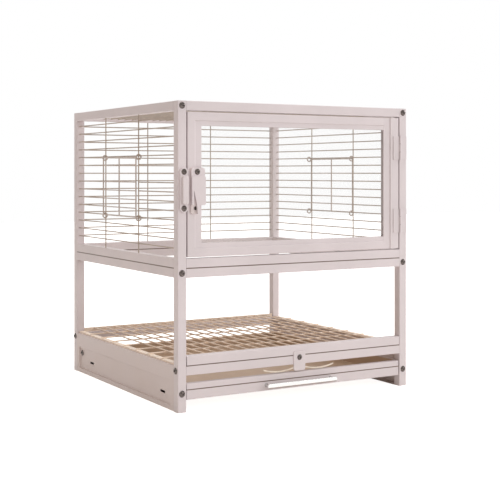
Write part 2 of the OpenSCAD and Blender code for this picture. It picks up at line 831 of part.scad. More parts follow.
// One knuckle that starts at height z
module knuckle(z) {
    translate([hinge_x, hinge_y, z]) cylinder(h = knuckle_l - knuckle_gap, r = knuckle_r, $fn = 48);
}

// Strip from a leaf into its knuckle, between x0 and x1
module leaf_strip(x0, x1, z, height) translate([x0, y_front - leaf_t, z]) cube([x1 - x0, leaf_t, height]);

module hinge_post_leaves() {
    leaf_x = hinge_x + knuckle_r + knuckle_gap;
    color(paint) for (z = hinge_z) difference() {
        union() {
            leaf_strip(leaf_x, leaf_x + leaf_w, z - hinge_l / 2, hinge_l);
            for (low = [z - hinge_l / 2, z + hinge_l / 2 - knuckle_l + knuckle_gap]) {
                knuckle(low);
                leaf_strip(hinge_x + knuckle_r / 2, leaf_x, low, knuckle_l - knuckle_gap);
            }
        }
        translate([hinge_x, hinge_y, z - hinge_l]) cylinder(h = 2 * hinge_l, r = pin_r + pin_fit, $fn = 48);
    }
}

module hinge_door_leaves() {
    leaf_x = hinge_x - knuckle_r - knuckle_gap;
    low = knuckle_gap / 2 - knuckle_l / 2;
    color(paint) for (z = hinge_z) difference() {
        union() {
            leaf_strip(leaf_x - leaf_w, leaf_x, z - hinge_l / 2, hinge_l);
            knuckle(z + low);
            leaf_strip(leaf_x, hinge_x - knuckle_r / 2, z + low, knuckle_l - knuckle_gap);
        }
        translate([hinge_x, hinge_y, z - hinge_l]) cylinder(h = 2 * hinge_l, r = pin_r + pin_fit, $fn = 48);
    }
}

module hinge_pins() {
    color(screw_grey) for (z = hinge_z) translate([hinge_x, hinge_y, z - hinge_l / 2])
        cylinder(h = hinge_l, r = pin_r, $fn = 48);
}

// ---- latch of the front door ----

// Stands an outline drawn in X and Z on the front face, reaching out from distance near to far
module on_front(near, far) {
    translate([0, y_front - near, 0]) rotate([90, 0, 0]) linear_extrude(far - near) children();
}

module latch_keeper() {
    color(paint) difference() {
        union() {
            on_front(0, keeper_t) translate([keeper_x - keeper_w / 2, lower_screw_z - keeper_end])
                round_rect(keeper_w, keeper_h, keeper_r);
            on_front(0, rib_out) translate([rib_x, (keeper_z + lower_screw_z - rib_l) / 2])
                round_rect(rib_w, rib_l, rib_r);
        }
        for (z = [keeper_z, lower_screw_z]) translate([keeper_x, y_front - keeper_t - past, z])
            bar_deep(keeper_t + 2 * past, small_hole_r);
    }
}

module keeper_screws() {
    color(screw_grey) for (z = [keeper_z, lower_screw_z])
        translate([keeper_x, y_front - keeper_t, z])
            small_screw_deep(keeper_t + tube_wall + small_screw_past);
}

// Base plate under the lever: wide at its pivot, narrow at its lower screw, whose head is sunk flush
module latch_base() {
    color(shade_paint) difference() {
        on_front(0, keeper_t) {
            translate([lever_plate_x - door_x, lower_screw_z + keeper_end])
                round_rect(lever_plate_w, latch_pitch, latch_r);
            translate([lever_plate_x - door_x, lower_screw_z - keeper_end - base_low])
                round_rect(keeper_w, keeper_h / 2, latch_r);
        }
        translate([lever_pivot_x, y_front - keeper_t - past, keeper_z])
            bar_deep(keeper_t + 2 * past, small_hole_r);
        translate([lower_screw_x, y_front - keeper_t, lower_screw_z]) {
            bar_deep(keeper_t + past, lower_hole_r);
            translate([0, -past, 0]) bar_deep(past + lower_head_t, 2 * lower_screw_r + screw_fit);
        }
    }
}

// The pivot screw, which holds the lever under its head, and the base plate's lower screw
module latch_screws() {
    stack = keeper_t + ear_t + 2 * ear_gap;
    color(screw_grey) {
        translate([lever_pivot_x, y_front - stack, keeper_z])
            small_screw_deep(stack + pane_front - screw_fit);
        translate([lower_screw_x, y_front - keeper_t, lower_screw_z]) {
            bar_deep(lower_head_t, 2 * lower_screw_r);
            bar_deep(keeper_t + tube_wall + small_screw_past, lower_screw_r);
        }
    }
}

// Outline of the lever's thick part: a rounded shield with a thin finger and a tapering tail below
module lever_outline() {
    low = tail_l - lever_l;
    gap_x = lever_left + finger_w;
    tail_x = gap_x + finger_gap;
    tip_x = tail_x + tail_w / 2;
    difference() {
        union() {
            translate([lever_left, low]) round_rect(lever_plate_w, lever_l - tail_l - lever_drop, latch_r);
            polygon([
                [tail_x, low + latch_r], [tip_x - tail_tip_w / 2, -lever_l],
                [tip_x + tail_tip_w / 2, -lever_l], [tail_x + tail_w, low + latch_r]
            ]);
        }
        polygon([
            [gap_x - finger_w / 4, -finger_top], [gap_x, low - past], [tail_x, low - past], [tail_x, low]
        ]);
    }
}

module latch_lever() {
    color(paint) translate([lever_pivot_x, latch_ear_y, keeper_z]) rotate([90, 0, 0]) difference() {
        union() {
            linear_extrude(ear_t) translate([lever_left, -lever_l / 2])
                round_rect(lever_plate_w, lever_l / 2 + ear_top, latch_r);
            linear_extrude(lever_face) lever_outline();
        }
        translate([0, 0, -past]) cylinder(h = ear_t + 2 * past, r = small_hole_r + screw_fit, $fn = 48);
    }
}

// ---- feeder doors ----

// The right feeder door: four rings hang from two wires of the wall and slide along them, and the
// rest of the door passes outside the stiffening wires
module right_feeder_door() {
    upright_front = feeder_front + 2 * feeder_r - weld;
    feeder_l = feeder_back - 2 * feeder_r + weld - upright_front;
    color(wire_grey) {
        for (y = [feeder_front, feeder_back], z = [feeder_low, feeder_high])
            translate([wire_x, y, z - ring_drop]) rotate([90, 0, 0])
                rotate_extrude($fn = 48) translate([ring_r, 0]) circle(r = feeder_r, $fn = 24);
        for (y = [0, feeder_l]) translate([feeder_bar_x, upright_front + y, feeder_low - ring_drop])
            cylinder(h = feeder_high - feeder_low, r = feeder_r, $fn = 24);
        translate([feeder_bar_x, upright_front + feeder_l / 2, feeder_low])
            cylinder(h = feeder_high - feeder_low - ring_drop, r = feeder_r, $fn = 24);
        for (z = [feeder_low, feeder_high - ring_drop])
            translate([feeder_bar_x, upright_front, z]) bar_deep(feeder_l, feeder_r);
        for (i = [feeder_row + 1 : feeder_row + feeder_rows - 1])
            translate([feeder_bar_x, upright_front, rows[i]]) bar_deep(feeder_l, wire_r);
    }
}

module left_feeder_door() mirror([1, 0, 0]) right_feeder_door();

// ---- floor grid ----

module grid_front_bar() {
    color(paint) translate([-grid_x, y_front, base_top]) tube_right(2 * grid_x);
}

module floor_grid() {
    color(wire_grey) {
        both_sides() translate([x_in + grid_gap, y_in_front + grid_gap, base_top])
            cube([grid_bar_w, rail_len_y - 2 * grid_gap, grid_bar_t]);
        translate([-grid_x, grid_back_y, base_top]) cube([2 * grid_x, grid_strip_t, grid_strip_h]);
        for (x = grid_long_x) translate([x, y_in_front, grid_long_z])
            bar_deep(grid_back_y - y_in_front + grid_strip_t / 2, grid_r);
        for (y = grid_cross_y) translate([-x_in - grid_gap - grid_bar_w + grid_r, y, grid_cross_z])
            bar_right(2 * (x_in + grid_gap + grid_bar_w - grid_r), grid_r);
    }
}

// ---- drawer ----

// A sheet folded back along its top and bottom, with a groove along its face
module drawer_front() {
    high = drawer_high - drawer_low;
    color(paint) difference() {
        translate([-drawer_x, drawer_y, drawer_low]) cube([2 * drawer_x, drawer_front_t, high]);
        translate([-drawer_x - past, drawer_y + 2 * sheet, drawer_low + sheet])
            cube([2 * drawer_x + 2 * past, drawer_front_t, high - 2 * sheet]);
        translate([-drawer_x - past, drawer_y - past, groove_z])
            cube([2 * drawer_x + 2 * past, past + groove, groove]);
        for (side = [-1, 1]) translate([side * standoff_x, drawer_y - past, handle_z])
            bar_deep(drawer_front_t, handle_hole_r);
    }
}

module drawer_tray() {
    color(shade_paint) difference() {
        translate([-tray_x, tray_y0, runner_z]) cube([2 * tray_x, tray_y1 - tray_y0, tray_high - runner_z]);
        translate([-tray_x + sheet, tray_y0 + sheet, runner_z + sheet])
            cube([2 * tray_x - 2 * sheet, tray_y1 - tray_y0 - 2 * sheet, tray_high]);
    }
}

module drawer_handle() {
    color(bright_metal) difference() {
        union() {
            translate([-handle_l / 2, handle_y + handle_t, handle_z - handle_h / 2]) rotate([90, 0, 0])
                linear_extrude(handle_t) round_rect(handle_l, handle_h, handle_r);
            for (side = [-1, 1]) translate([side * standoff_x, handle_y + handle_t / 2, handle_z])
                bar_deep(drawer_y - handle_y - handle_t / 2, standoff_r);
        }
        for (side = [-1, 1]) translate([side * standoff_x, handle_y + handle_t, handle_z])
            bar_deep(handle_out, handle_hole_r);
    }
}

// Pan head screws from inside the drawer front into the standoffs
module handle_screws() {
    head_y = drawer_y + 2 * sheet;
    tip_y = handle_y + handle_t + past;
    color(screw_grey) for (side = [-1, 1]) translate([side * standoff_x, 0, handle_z]) {
        translate([0, tip_y, 0]) bar_deep(head_y - tip_y, handle_screw_r);
        translate([0, head_y, 0]) bar_deep(handle_head_t, 2 * handle_screw_r);
    }
}

// ---- catch at the middle of the base ----

module catch_plate() {
    color(paint) difference() {
        on_front(0, catch_t) translate([-catch_w / 2, catch_low]) round_rect(catch_w, catch_h, catch_r);
        translate([0, y_front - catch_t - past, catch_screw_z]) bar_deep(catch_t + 2 * past, small_hole_r);
    }
}

module catch_screw() {
    color(screw_grey) translate([0, y_front - catch_t, catch_screw_z])
        small_screw_deep(catch_t + tube_wall + small_screw_past);
}

// One straight length behind the plate, and an arm bowed down to the drawer's edge on each side
module catch_wire() {
    color(cream) translate([0, catch_wire_y, 0]) {
        translate([-catch_root_x, 0, catch_wire_z]) bar_right(2 * catch_root_x, catch_wire_r);
        both_sides() {
            translate([catch_root_x, 0, catch_wire_z]) sphere(r = catch_wire_r, $fn = 32);
            translate([catch_root_x + catch_arm, 0, catch_wire_z]) sphere(r = catch_wire_r, $fn = 32);
            translate([catch_root_x + catch_arm / 2, 0, catch_wire_z - catch_bow + catch_curve_r])
                rotate([90, 0, 0]) rotate([0, 0, -90 - catch_half_angle])
                    rotate_extrude(angle = 2 * catch_half_angle, $fn = 240)
                        translate([catch_curve_r, 0]) circle(r = catch_wire_r, $fn = 32);
        }
    }
}

front_left_post();
front_right_post();
back_left_post();
back_right_post();
post_caps();
foot_plugs();
top_front_rail();
top_back_rail();
top_left_rail();
top_right_rail();
sill_front();
sill_back();
sill_left();
sill_right();
mid_front_rail();
mid_back_rail();
mid_left_rail();
mid_right_rail();
base_front_rail();
base_back_rail();
left_side_plate();
right_side_plate();
left_runner();
right_runner();
rail_plugs();
runner_plugs();
frame_screws();
base_screws();
left_wire_wall();
right_wire_wall();
back_wire_wall();
roof_wires();
hinge_post_leaves();
hinge_pins();
latch_keeper();
keeper_screws();
catch_plate();
catch_wire();
catch_screw();
door_left_stile();
door_hinge_stile();
door_top_rail();
door_bottom_rail();
door_pane();
hinge_door_leaves();
latch_base();
latch_screws();
latch_lever();
left_feeder_door();
right_feeder_door();
grid_front_bar();
floor_grid();
drawer_front();
drawer_tray();
drawer_handle();
handle_screws();
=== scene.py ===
"""Looks of a canary breeding cage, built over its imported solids."""

import json
import math

import bmesh
import bpy
from bpy.props import FloatProperty, FloatVectorProperty, PointerProperty
from bpy.types import Operator, Panel, PropertyGroup
from mathutils import Matrix, Vector


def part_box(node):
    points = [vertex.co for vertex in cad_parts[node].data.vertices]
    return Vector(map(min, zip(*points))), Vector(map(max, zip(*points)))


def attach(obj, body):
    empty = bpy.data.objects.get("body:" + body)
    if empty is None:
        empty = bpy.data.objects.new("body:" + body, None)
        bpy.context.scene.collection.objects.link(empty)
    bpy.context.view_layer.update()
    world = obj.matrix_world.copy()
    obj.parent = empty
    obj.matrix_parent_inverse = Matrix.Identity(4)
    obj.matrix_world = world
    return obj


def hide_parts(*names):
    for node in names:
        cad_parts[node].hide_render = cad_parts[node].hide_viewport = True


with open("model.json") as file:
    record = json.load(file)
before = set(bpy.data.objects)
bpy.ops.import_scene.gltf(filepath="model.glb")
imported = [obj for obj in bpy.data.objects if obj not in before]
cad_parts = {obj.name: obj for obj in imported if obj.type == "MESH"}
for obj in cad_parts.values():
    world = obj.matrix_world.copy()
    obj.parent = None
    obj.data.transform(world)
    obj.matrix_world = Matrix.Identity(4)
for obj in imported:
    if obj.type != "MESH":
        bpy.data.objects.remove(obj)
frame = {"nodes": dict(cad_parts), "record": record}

bl_info = {
    "name": "Breeding cage looks",
    "version": (1, 0, 0),
    "blender": (4, 5, 0),
    "location": "View3D > Sidebar > Cage",
    "description": "Dresses the solids of a canary breeding cage and lights them",
    "category": "Object",
}

# ---------------------------------------------------------------- sizes, in millimetres

MM = 0.001
X, Y, Z = 0, 1, 2


def span(node, axis):
    """Both ends of a solid's box along an axis, to a hundredth of a millimetre."""
    low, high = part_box(node)
    return round(low[axis] / MM, 2), round(high[axis] / MM, 2)


# The square tubes of the frame
X_IN, X_OUT = span("front_right_post", X)
Y_FRONT, Y_IN_FRONT = span("front_left_post", Y)
Y_IN_BACK, Y_BACK = span("back_left_post", Y)
TUBE = X_OUT - X_IN
POST_X = (X_IN + X_OUT) / 2
Y_MID = (Y_FRONT + Y_BACK) / 2
FRAME_TOP = span("front_left_post", Z)[1]
BASE_TOP = span("base_front_rail", Z)[1]
MID_LOW, MID_TOP = span("mid_front_rail", Z)
SILL_TOP = span("sill_front", Z)[1]

# The walls' and the roof's wires
WIRE_PITCH = 14.74
ROWS = [SILL_TOP + 15.7 + WIRE_PITCH * i for i in range(15)]

# The latch's keeper and base, and the two screws in each
KEEPER_LEFT, KEEPER_RIGHT = span("latch_keeper", X)
KEEPER_LOW, KEEPER_HIGH = span("latch_keeper", Z)
KEEPER_X = (KEEPER_LEFT + KEEPER_RIGHT) / 2
KEEPER_END = 6.4
KEEPER_T = 3.0
LATCH_HIGH_Z = KEEPER_HIGH - KEEPER_END
LATCH_LOW_Z = KEEPER_LOW + KEEPER_END
BASE_LEFT, BASE_RIGHT = span("latch_base", X)
PIVOT_X = BASE_LEFT + 10.5
SUNK_SCREW_X = PIVOT_X - 2.1

# Where other screws sit, and the height of the groove pressed into the drawer's front
PRESS_X = X_OUT - 3.0
PLATE_SCREW_Y, PLATE_SCREW_Z = Y_BACK - 36.0, 37.0
CATCH_SCREW_Z = BASE_TOP - 3.5
GROOVE_Z = 34.8

# Radii of the holes for the smaller screws, the sunk screw and the larger screws
SMALL_HOLE_R, SUNK_HOLE_R, LARGE_HOLE_R = 2.05, 3.05, 2.55

# ---------------------------------------------------------------- shader sums


class Sock:
    """A shader socket that does sums with the usual signs."""

    def __init__(self, tree, out):
        self.tree = tree
        self.out = out

    def _sum(self, operation, first, second=None, clamp=False):
        made = self.tree.nodes.new("ShaderNodeMath")
        made.operation = operation
        made.use_clamp = clamp
        for slot, value in zip(made.inputs, (first, second)):
            plug(self.tree, slot, value)
        return Sock(self.tree, made.outputs[0])

    def __add__(self, other):
        return self._sum("ADD", self, other)

    __radd__ = __add__

    def __sub__(self, other):
        return self._sum("SUBTRACT", self, other)

    def __rsub__(self, other):
        return self._sum("SUBTRACT", other, self)

    def __mul__(self, other):
        return self._sum("MULTIPLY", self, other)

    __rmul__ = __mul__

    def clamp(self):
        """Held between 0 and 1."""
        return self._sum("ADD", self, 0.0, clamp=True)

    def step(self, low, high):
        """0 below low, 1 above high, smooth between."""
        made = self.tree.nodes.new("ShaderNodeMapRange")
        made.interpolation_type = "SMOOTHSTEP"
        plug(self.tree, made.inputs["Value"], self)
        plug(self.tree, made.inputs["From Min"], low)
        plug(self.tree, made.inputs["From Max"], high)
        return Sock(self.tree, made.outputs[0])


def plug(tree, slot, value):
    """Puts a number, a colour or another socket into a socket."""
    if isinstance(value, Sock):
        tree.links.new(value.out, slot)
    elif value is not None:
        slot.default_value = value


def mixed(tree, factor, first, second):
    """Colour between two colours or sockets, by a factor."""
    made = tree.nodes.new("ShaderNodeMix")
    made.data_type = "RGBA"
    plug(tree, made.inputs["Factor"], factor)
    slots = [s for s in made.inputs if s.type == "RGBA"]
    for slot, value in zip(slots, (first, second)):
        plug(tree, slot, value if isinstance(value, Sock) else (*value, 1.0))
    return Sock(tree, [s for s in made.outputs if s.type == "RGBA"][0])


def seen(tree):
    """1 on the rays that show a thing, straight, mirrored or through glass, and 0 on those that light it."""
    path = tree.nodes.new("ShaderNodeLightPath").outputs
    rays = [Sock(tree, path[f"Is {kind} Ray"]) for kind in ("Camera", "Glossy", "Transmission")]
    return (rays[0] + rays[1] + rays[2]).clamp()


class Shader:
    """One node material, built from its surface shader backwards."""

    def __init__(self, name):
        self.material = bpy.data.materials.new(name)
        self.material.use_nodes = True
        self.tree = self.material.node_tree
        self.surface = self.tree.nodes["Principled BSDF"]
        self.place = self.node("ShaderNodeTexCoord", "Object")

    def node(self, kind, output=0, settings=None, **inputs):
        """Adds a node with its settings and inputs, and gives one of its outputs."""
        made = self.tree.nodes.new(kind)
        for key, value in (settings or {}).items():
            setattr(made, key, value)
        for key, value in inputs.items():
            plug(self.tree, made.inputs[key.replace("_", " ")], value)
        return Sock(self.tree, made.outputs[output])

    def stretched(self, x, y, z):
        """Place on the object, scaled along each axis."""
        return self.node("ShaderNodeMapping", Vector=self.place, Scale=(x, y, z))

    def noise(self, scale, detail=3.0, roughness=0.5, place=None):
        return self.node(
            "ShaderNodeTexNoise",
            "Fac",
            Vector=place or self.place,
            Scale=scale,
            Detail=detail,
            Roughness=roughness,
        )

    def axis(self, name):
        return self.node("ShaderNodeSeparateXYZ", name, Vector=self.place)

    def mix(self, factor, first, second):
        return mixed(self.tree, factor, first, second)

    def bump(self, height, strength, distance):
        bumped = self.node(
            "ShaderNodeBump", "Normal", Height=height, Strength=strength, Distance=distance
        )
        self.set(Normal=bumped)

    def set(self, **inputs):
        """Puts values or sockets into the surface shader."""
        for key, value in inputs.items():
            slot = self.surface.inputs[key.replace("_", " ")]
            if isinstance(value, tuple) and len(value) == 3:
                value = (*value, 1.0)
            plug(self.tree, slot, value)
        return self


# Colour towards which the coat darkens near the floor, and the height in metres up to which it does
BOTTOM_TONE, BOTTOM_TONE_TOP = (0.46, 0.37, 0.29), 0.16
# Colour of the painted shade in a groove, and the distances in metres from its middle between which it fades
# out
GROOVE_SHADE, GROOVE_IN, GROOVE_OUT = (0.2, 0.145, 0.115), 0.0006, 0.0011
# Colour of the painted shade along the handle's low edge
HANDLE_SHADE = (0.2, 0.155, 0.135)


def darker(colour, share):
    """Colour times a share, which may also be over 1."""
    return tuple(c * share for c in colour)


def powder_coat(name, colour, bottom_share=0.0, grain=1.0, seams=()):
    """Satin powder coat: a fine pebbled skin, soft tone changes and a darker tone towards the floor.

    Seams are heights where two tubes meet, or a sheet is creased, and the groove there gets painted shade.
    """
    s = Shader(name)
    tone = s.noise(9.0, 4.0, 0.55)
    speck = s.noise(260.0, 2.0, 0.6)
    shade = s.mix(tone.step(0.3, 0.7), darker(colour, 0.955), darker(colour, 1.03))
    shade = s.mix(speck.step(0.66, 0.8) * 0.35, shade, darker(colour, 0.86))
    # Darker towards the floor, unevenly
    bottom_mask = (BOTTOM_TONE_TOP - s.axis("Z")).clamp() * bottom_share * (tone.step(0.35, 0.75) + 0.6)
    shade = s.mix(bottom_mask.clamp(), shade, BOTTOM_TONE)
    # Painted shade in the groove at each seam
    for seam in seams:
        away = s.node("ShaderNodeMath", settings={"operation": "ABSOLUTE"}, Value=s.axis("Z") - seam)
        shade = s.mix(away.step(GROOVE_IN, GROOVE_OUT), GROOVE_SHADE, shade)
    pebble = s.noise(900.0, 2.0, 0.5)
    s.set(Base_Color=shade, Roughness=0.36 + 0.14 * tone + 0.08 * speck)
    s.set(Coat_Weight=0.12, Coat_Roughness=0.25)
    s.bump(pebble + 0.4 * speck, 0.16 * grain, 0.0004)
    return s.material


def coated_wire(name, colour):
    """Thin coating over drawn wire: glossier than the tubes, with thin and thick places."""
    s = Shader(name)
    thick = s.noise(60.0, 3.0, 0.6)
    spots = s.noise(420.0, 2.0, 0.6)
    shade = s.mix(thick.step(0.3, 0.7), darker(colour, 0.88), darker(colour, 1.08))
    shade = s.mix(spots.step(0.64, 0.8) * 0.5, shade, darker(colour, 0.7))
    s.set(Base_Color=shade, Roughness=0.3 + 0.2 * thick)
    s.bump(thick + 0.5 * spots, 0.2, 0.0003)
    return s.material


def dark_steel(name, colour):
    """Zinc-plated steel: a dark, uneven plating with fine turning marks and a sharp shine."""
    s = Shader(name)
    cloud = s.noise(500.0, 4.0, 0.6)
    fine = s.noise(1500.0, 2.0, 0.6, s.stretched(1.0, 1.0, 8.0))
    s.set(Base_Color=s.mix(cloud.step(0.3, 0.7), darker(colour, 0.7), darker(colour, 1.3)))
    s.set(Metallic=0.9, Roughness=0.1 + 0.1 * cloud)
    s.bump(fine, 0.15, 0.0002)
    return s.material


def brushed_aluminium(name, colour, edge):
    """Aluminium brushed along the handle, under a clear anodised skin, with painted shade below a height."""
    s = Shader(name)
    lines = s.noise(700.0, 3.0, 0.65, s.stretched(0.03, 1.0, 1.0))
    bright = s.mix(lines.step(0.25, 0.75), darker(colour, 0.92), colour)
    # Painted shade on the handle's low edge, below the height
    above = s.axis("Z").step(edge - 0.0005, edge + 0.0003)
    s.set(Base_Color=s.mix(above, HANDLE_SHADE, bright))
    s.set(Metallic=0.85, Roughness=0.16 + 0.16 * lines, Coat_Weight=0.3, Coat_Roughness=0.12)
    s.bump(lines, 0.08, 0.0002)
    return s.material


def moulded_plastic(name, colour):
    """Matt moulded plastic with a fine spark-eroded grain."""
    s = Shader(name)
    grain = s.noise(1400.0, 2.0, 0.6)
    cloud = s.noise(45.0, 3.0, 0.5)
    s.set(Base_Color=s.mix(cloud, darker(colour, 0.85), darker(colour, 1.15)))
    s.set(Roughness=0.55 + 0.15 * grain)
    s.bump(grain, 0.25, 0.0003)
    return s.material


def clear_pane(name, colour):
    """A clear pane: almost unseen from the front, mirror-like at a slant, with faint wiped streaks."""
    s = Shader(name)
    streak = s.noise(26.0, 5.0, 0.65, s.stretched(1.0, 1.0, 0.25))
    slant = s.node("ShaderNodeFresnel", "Fac", IOR=1.45)
    s.set(Base_Color=colour, Roughness=0.03 + 0.12 * streak.step(0.5, 0.8))
    s.set(Alpha=(0.04 + 0.006 * streak.step(0.3, 0.9) + 0.4 * slant).clamp())
    s.material.surface_render_method = "BLENDED"
    return s.material


# ---------------------------------------------------------------- settings


class CageSettings(PropertyGroup):
    """Colours, roundings and lights that a user would change"""

    paint: FloatVectorProperty(
        name="Paint", description="Colour of the painted tubes", subtype="COLOR",
        default=(0.75, 0.685, 0.705), min=0.0, max=1.0,
    )
    sheet_paint: FloatVectorProperty(
        name="Sheet paint", description="Colour of the painted sheet metal", subtype="COLOR",
        default=(0.75, 0.665, 0.66), min=0.0, max=1.0,
    )
    # The walls' wires wear the tubes' pale coat; this darker colour is painted shade
    wire: FloatVectorProperty(
        name="Wire", description="Colour of the coated wires", subtype="COLOR",
        default=(0.46, 0.38, 0.315), min=0.0, max=1.0,
    )
    # The feeder doors' wires wear the pale coat too; this greyer colour is painted shade
    feeder_wire: FloatVectorProperty(
        name="Feeder doors", description="Colour of the feeder doors' coated wires", subtype="COLOR",
        default=(0.6, 0.53, 0.49), min=0.0, max=1.0,
    )
    # The floor grid's wires wear the pale coat too; this brighter, warmer colour is painted light
    grid_wire: FloatVectorProperty(
        name="Floor grid", description="Colour of the floor grid's coated wires", subtype="COLOR",
        default=(0.94, 0.8, 0.67), min=0.0, max=1.0,
    )
    steel: FloatVectorProperty(
        name="Screws", description="Colour of the plated screws", subtype="COLOR",
        default=(0.11, 0.092, 0.086), min=0.0, max=1.0,
    )
    rounding: FloatProperty(
        name="Edge rounding", description="How round the folded and pressed edges are, against the usual",
        default=1.0, min=0.2, max=1.3, subtype="FACTOR",
    )
    weld: FloatProperty(
        name="Weld size", description="Size of the weld nuggets, against the usual",
        default=1.0, min=0.7, max=1.2, subtype="FACTOR",
    )
    lens: FloatProperty(
        name="Lens", description="Focal length of the camera, in millimetres",
        default=78.84, min=20.0, max=200.0, unit="CAMERA",
    )
    key: FloatProperty(
        name="Key light", description="Power of the light from the front right",
        default=38.0, min=0.0, max=200.0, unit="POWER",
    )
    shine: FloatProperty(
        name="Shine", description="Power of the small light that glints in the screws",
        default=13.0, min=0.0, max=60.0, unit="POWER",
    )
    top: FloatProperty(
        name="Top light", description="Power of the light over the roof",
        default=13.0, min=0.0, max=200.0, unit="POWER",
    )
    fill: FloatProperty(
        name="Left fill", description="Power of the warm light from the left",
        default=7.0, min=0.0, max=200.0, unit="POWER",
    )


def looks():
    """The cage's settings in the present scene."""
    return bpy.context.scene.cage_looks


# ---------------------------------------------------------------- mesh parts

# Angles between two faces: shaded smooth below the first, and softened above the second
SMOOTH_BELOW = math.radians(32)
SHARP = 0.8
# Distances, in millimetres, up to which two points and two heights count as one
SAME_POINT = 1e-4
SAME_HEIGHT = 1e-5


def outline(corners, steps=6):
    """Closed outline through corners of (x, y, radius), each rounded by its radius."""
    made = []
    for i, (x, y, radius) in enumerate(corners):
        here = Vector((x, y))
        if not radius:
            made.append((x, y))
            continue
        before = (Vector(corners[i - 1][:2]) - here).normalized()
        after = (Vector(corners[(i + 1) % len(corners)][:2]) - here).normalized()
        half = before.angle(after) / 2
        centre = here + (before + after).normalized() * radius / math.sin(half)
        start = here + before * radius / math.tan(half) - centre
        turn = start.angle_signed(here + after * radius / math.tan(half) - centre)
        for k in range(steps + 1):
            made.append(tuple(centre + Matrix.Rotation(-turn * k / steps, 2) @ start))
    return made


def card(x0, y0, x1, y1, radius, steps=6):
    """Outline of a rectangle with rounded corners."""
    return outline([(x0, y0, radius), (x1, y0, radius), (x1, y1, radius), (x0, y1, radius)], steps)


def disc(x, y, radius, steps=36):
    """Outline of a circle."""
    turns = [2 * math.pi * k / steps for k in range(steps)]
    return [(x + radius * math.cos(t), y + radius * math.sin(t)) for t in turns]


def level(u, v, w):
    """Outline in X and Y, standing up by w."""
    return (u, v, w)


def front(u, v, w):
    """Outline in X and Z, standing out of the front face by w."""
    return (u, Y_FRONT - w, v)


def turned_to(point, out, turn=0.0):
    """Places a part drawn along Z at a point, pointing along out, after turning it about itself."""
    aim = Vector((0, 0, 1)).rotation_difference(Vector(out)).to_matrix()
    aim = aim @ Matrix.Rotation(math.radians(turn), 3, "Z")
    return lambda u, v, w: Vector(point) + aim @ Vector((u, v, w))


def turned(profile, steps=36):
    """Part spun about Z from (radius, height) points, with its poles closed."""
    part = bmesh.new()
    points = [part.verts.new((radius, 0, height)) for radius, height in profile]
    edges = [part.edges.new(pair) for pair in zip(points, points[1:])]
    bmesh.ops.spin(
        part, geom=points + edges, cent=(0, 0, 0), axis=(0, 0, 1), angle=2 * math.pi, steps=steps,
        use_merge=True,
    )
    bmesh.ops.remove_doubles(part, verts=part.verts[:], dist=SAME_POINT)
    return part


def ring(part, shape, z):
    """Closed ring of edges over an outline at a height."""
    verts = [part.verts.new((*point, z)) for point in shape]
    return [part.edges.new(pair) for pair in zip(verts, verts[1:] + verts[:1])]


def moved_along(part, faces, way):
    """Extrudes faces and moves what comes out, leaving nothing behind inside the part."""
    edges = dict.fromkeys(e for f in faces for e in f.edges)
    made = bmesh.ops.extrude_face_region(part, geom=[*faces, *edges])["geom"]
    bmesh.ops.translate(part, verts=[g for g in made if isinstance(g, bmesh.types.BMVert)], vec=way)
    return [g for g in made if isinstance(g, bmesh.types.BMFace)]


def softened(part, edges, rounding, segments=3, clamp=False):
    """Rounds edges by a radius; clamp holds it back where it would cross a short edge."""
    bmesh.ops.bevel(
        part, geom=edges, offset=rounding * looks().rounding, segments=segments, profile=0.5,
        affect="EDGES", material=-1, clamp_overlap=clamp,
    )


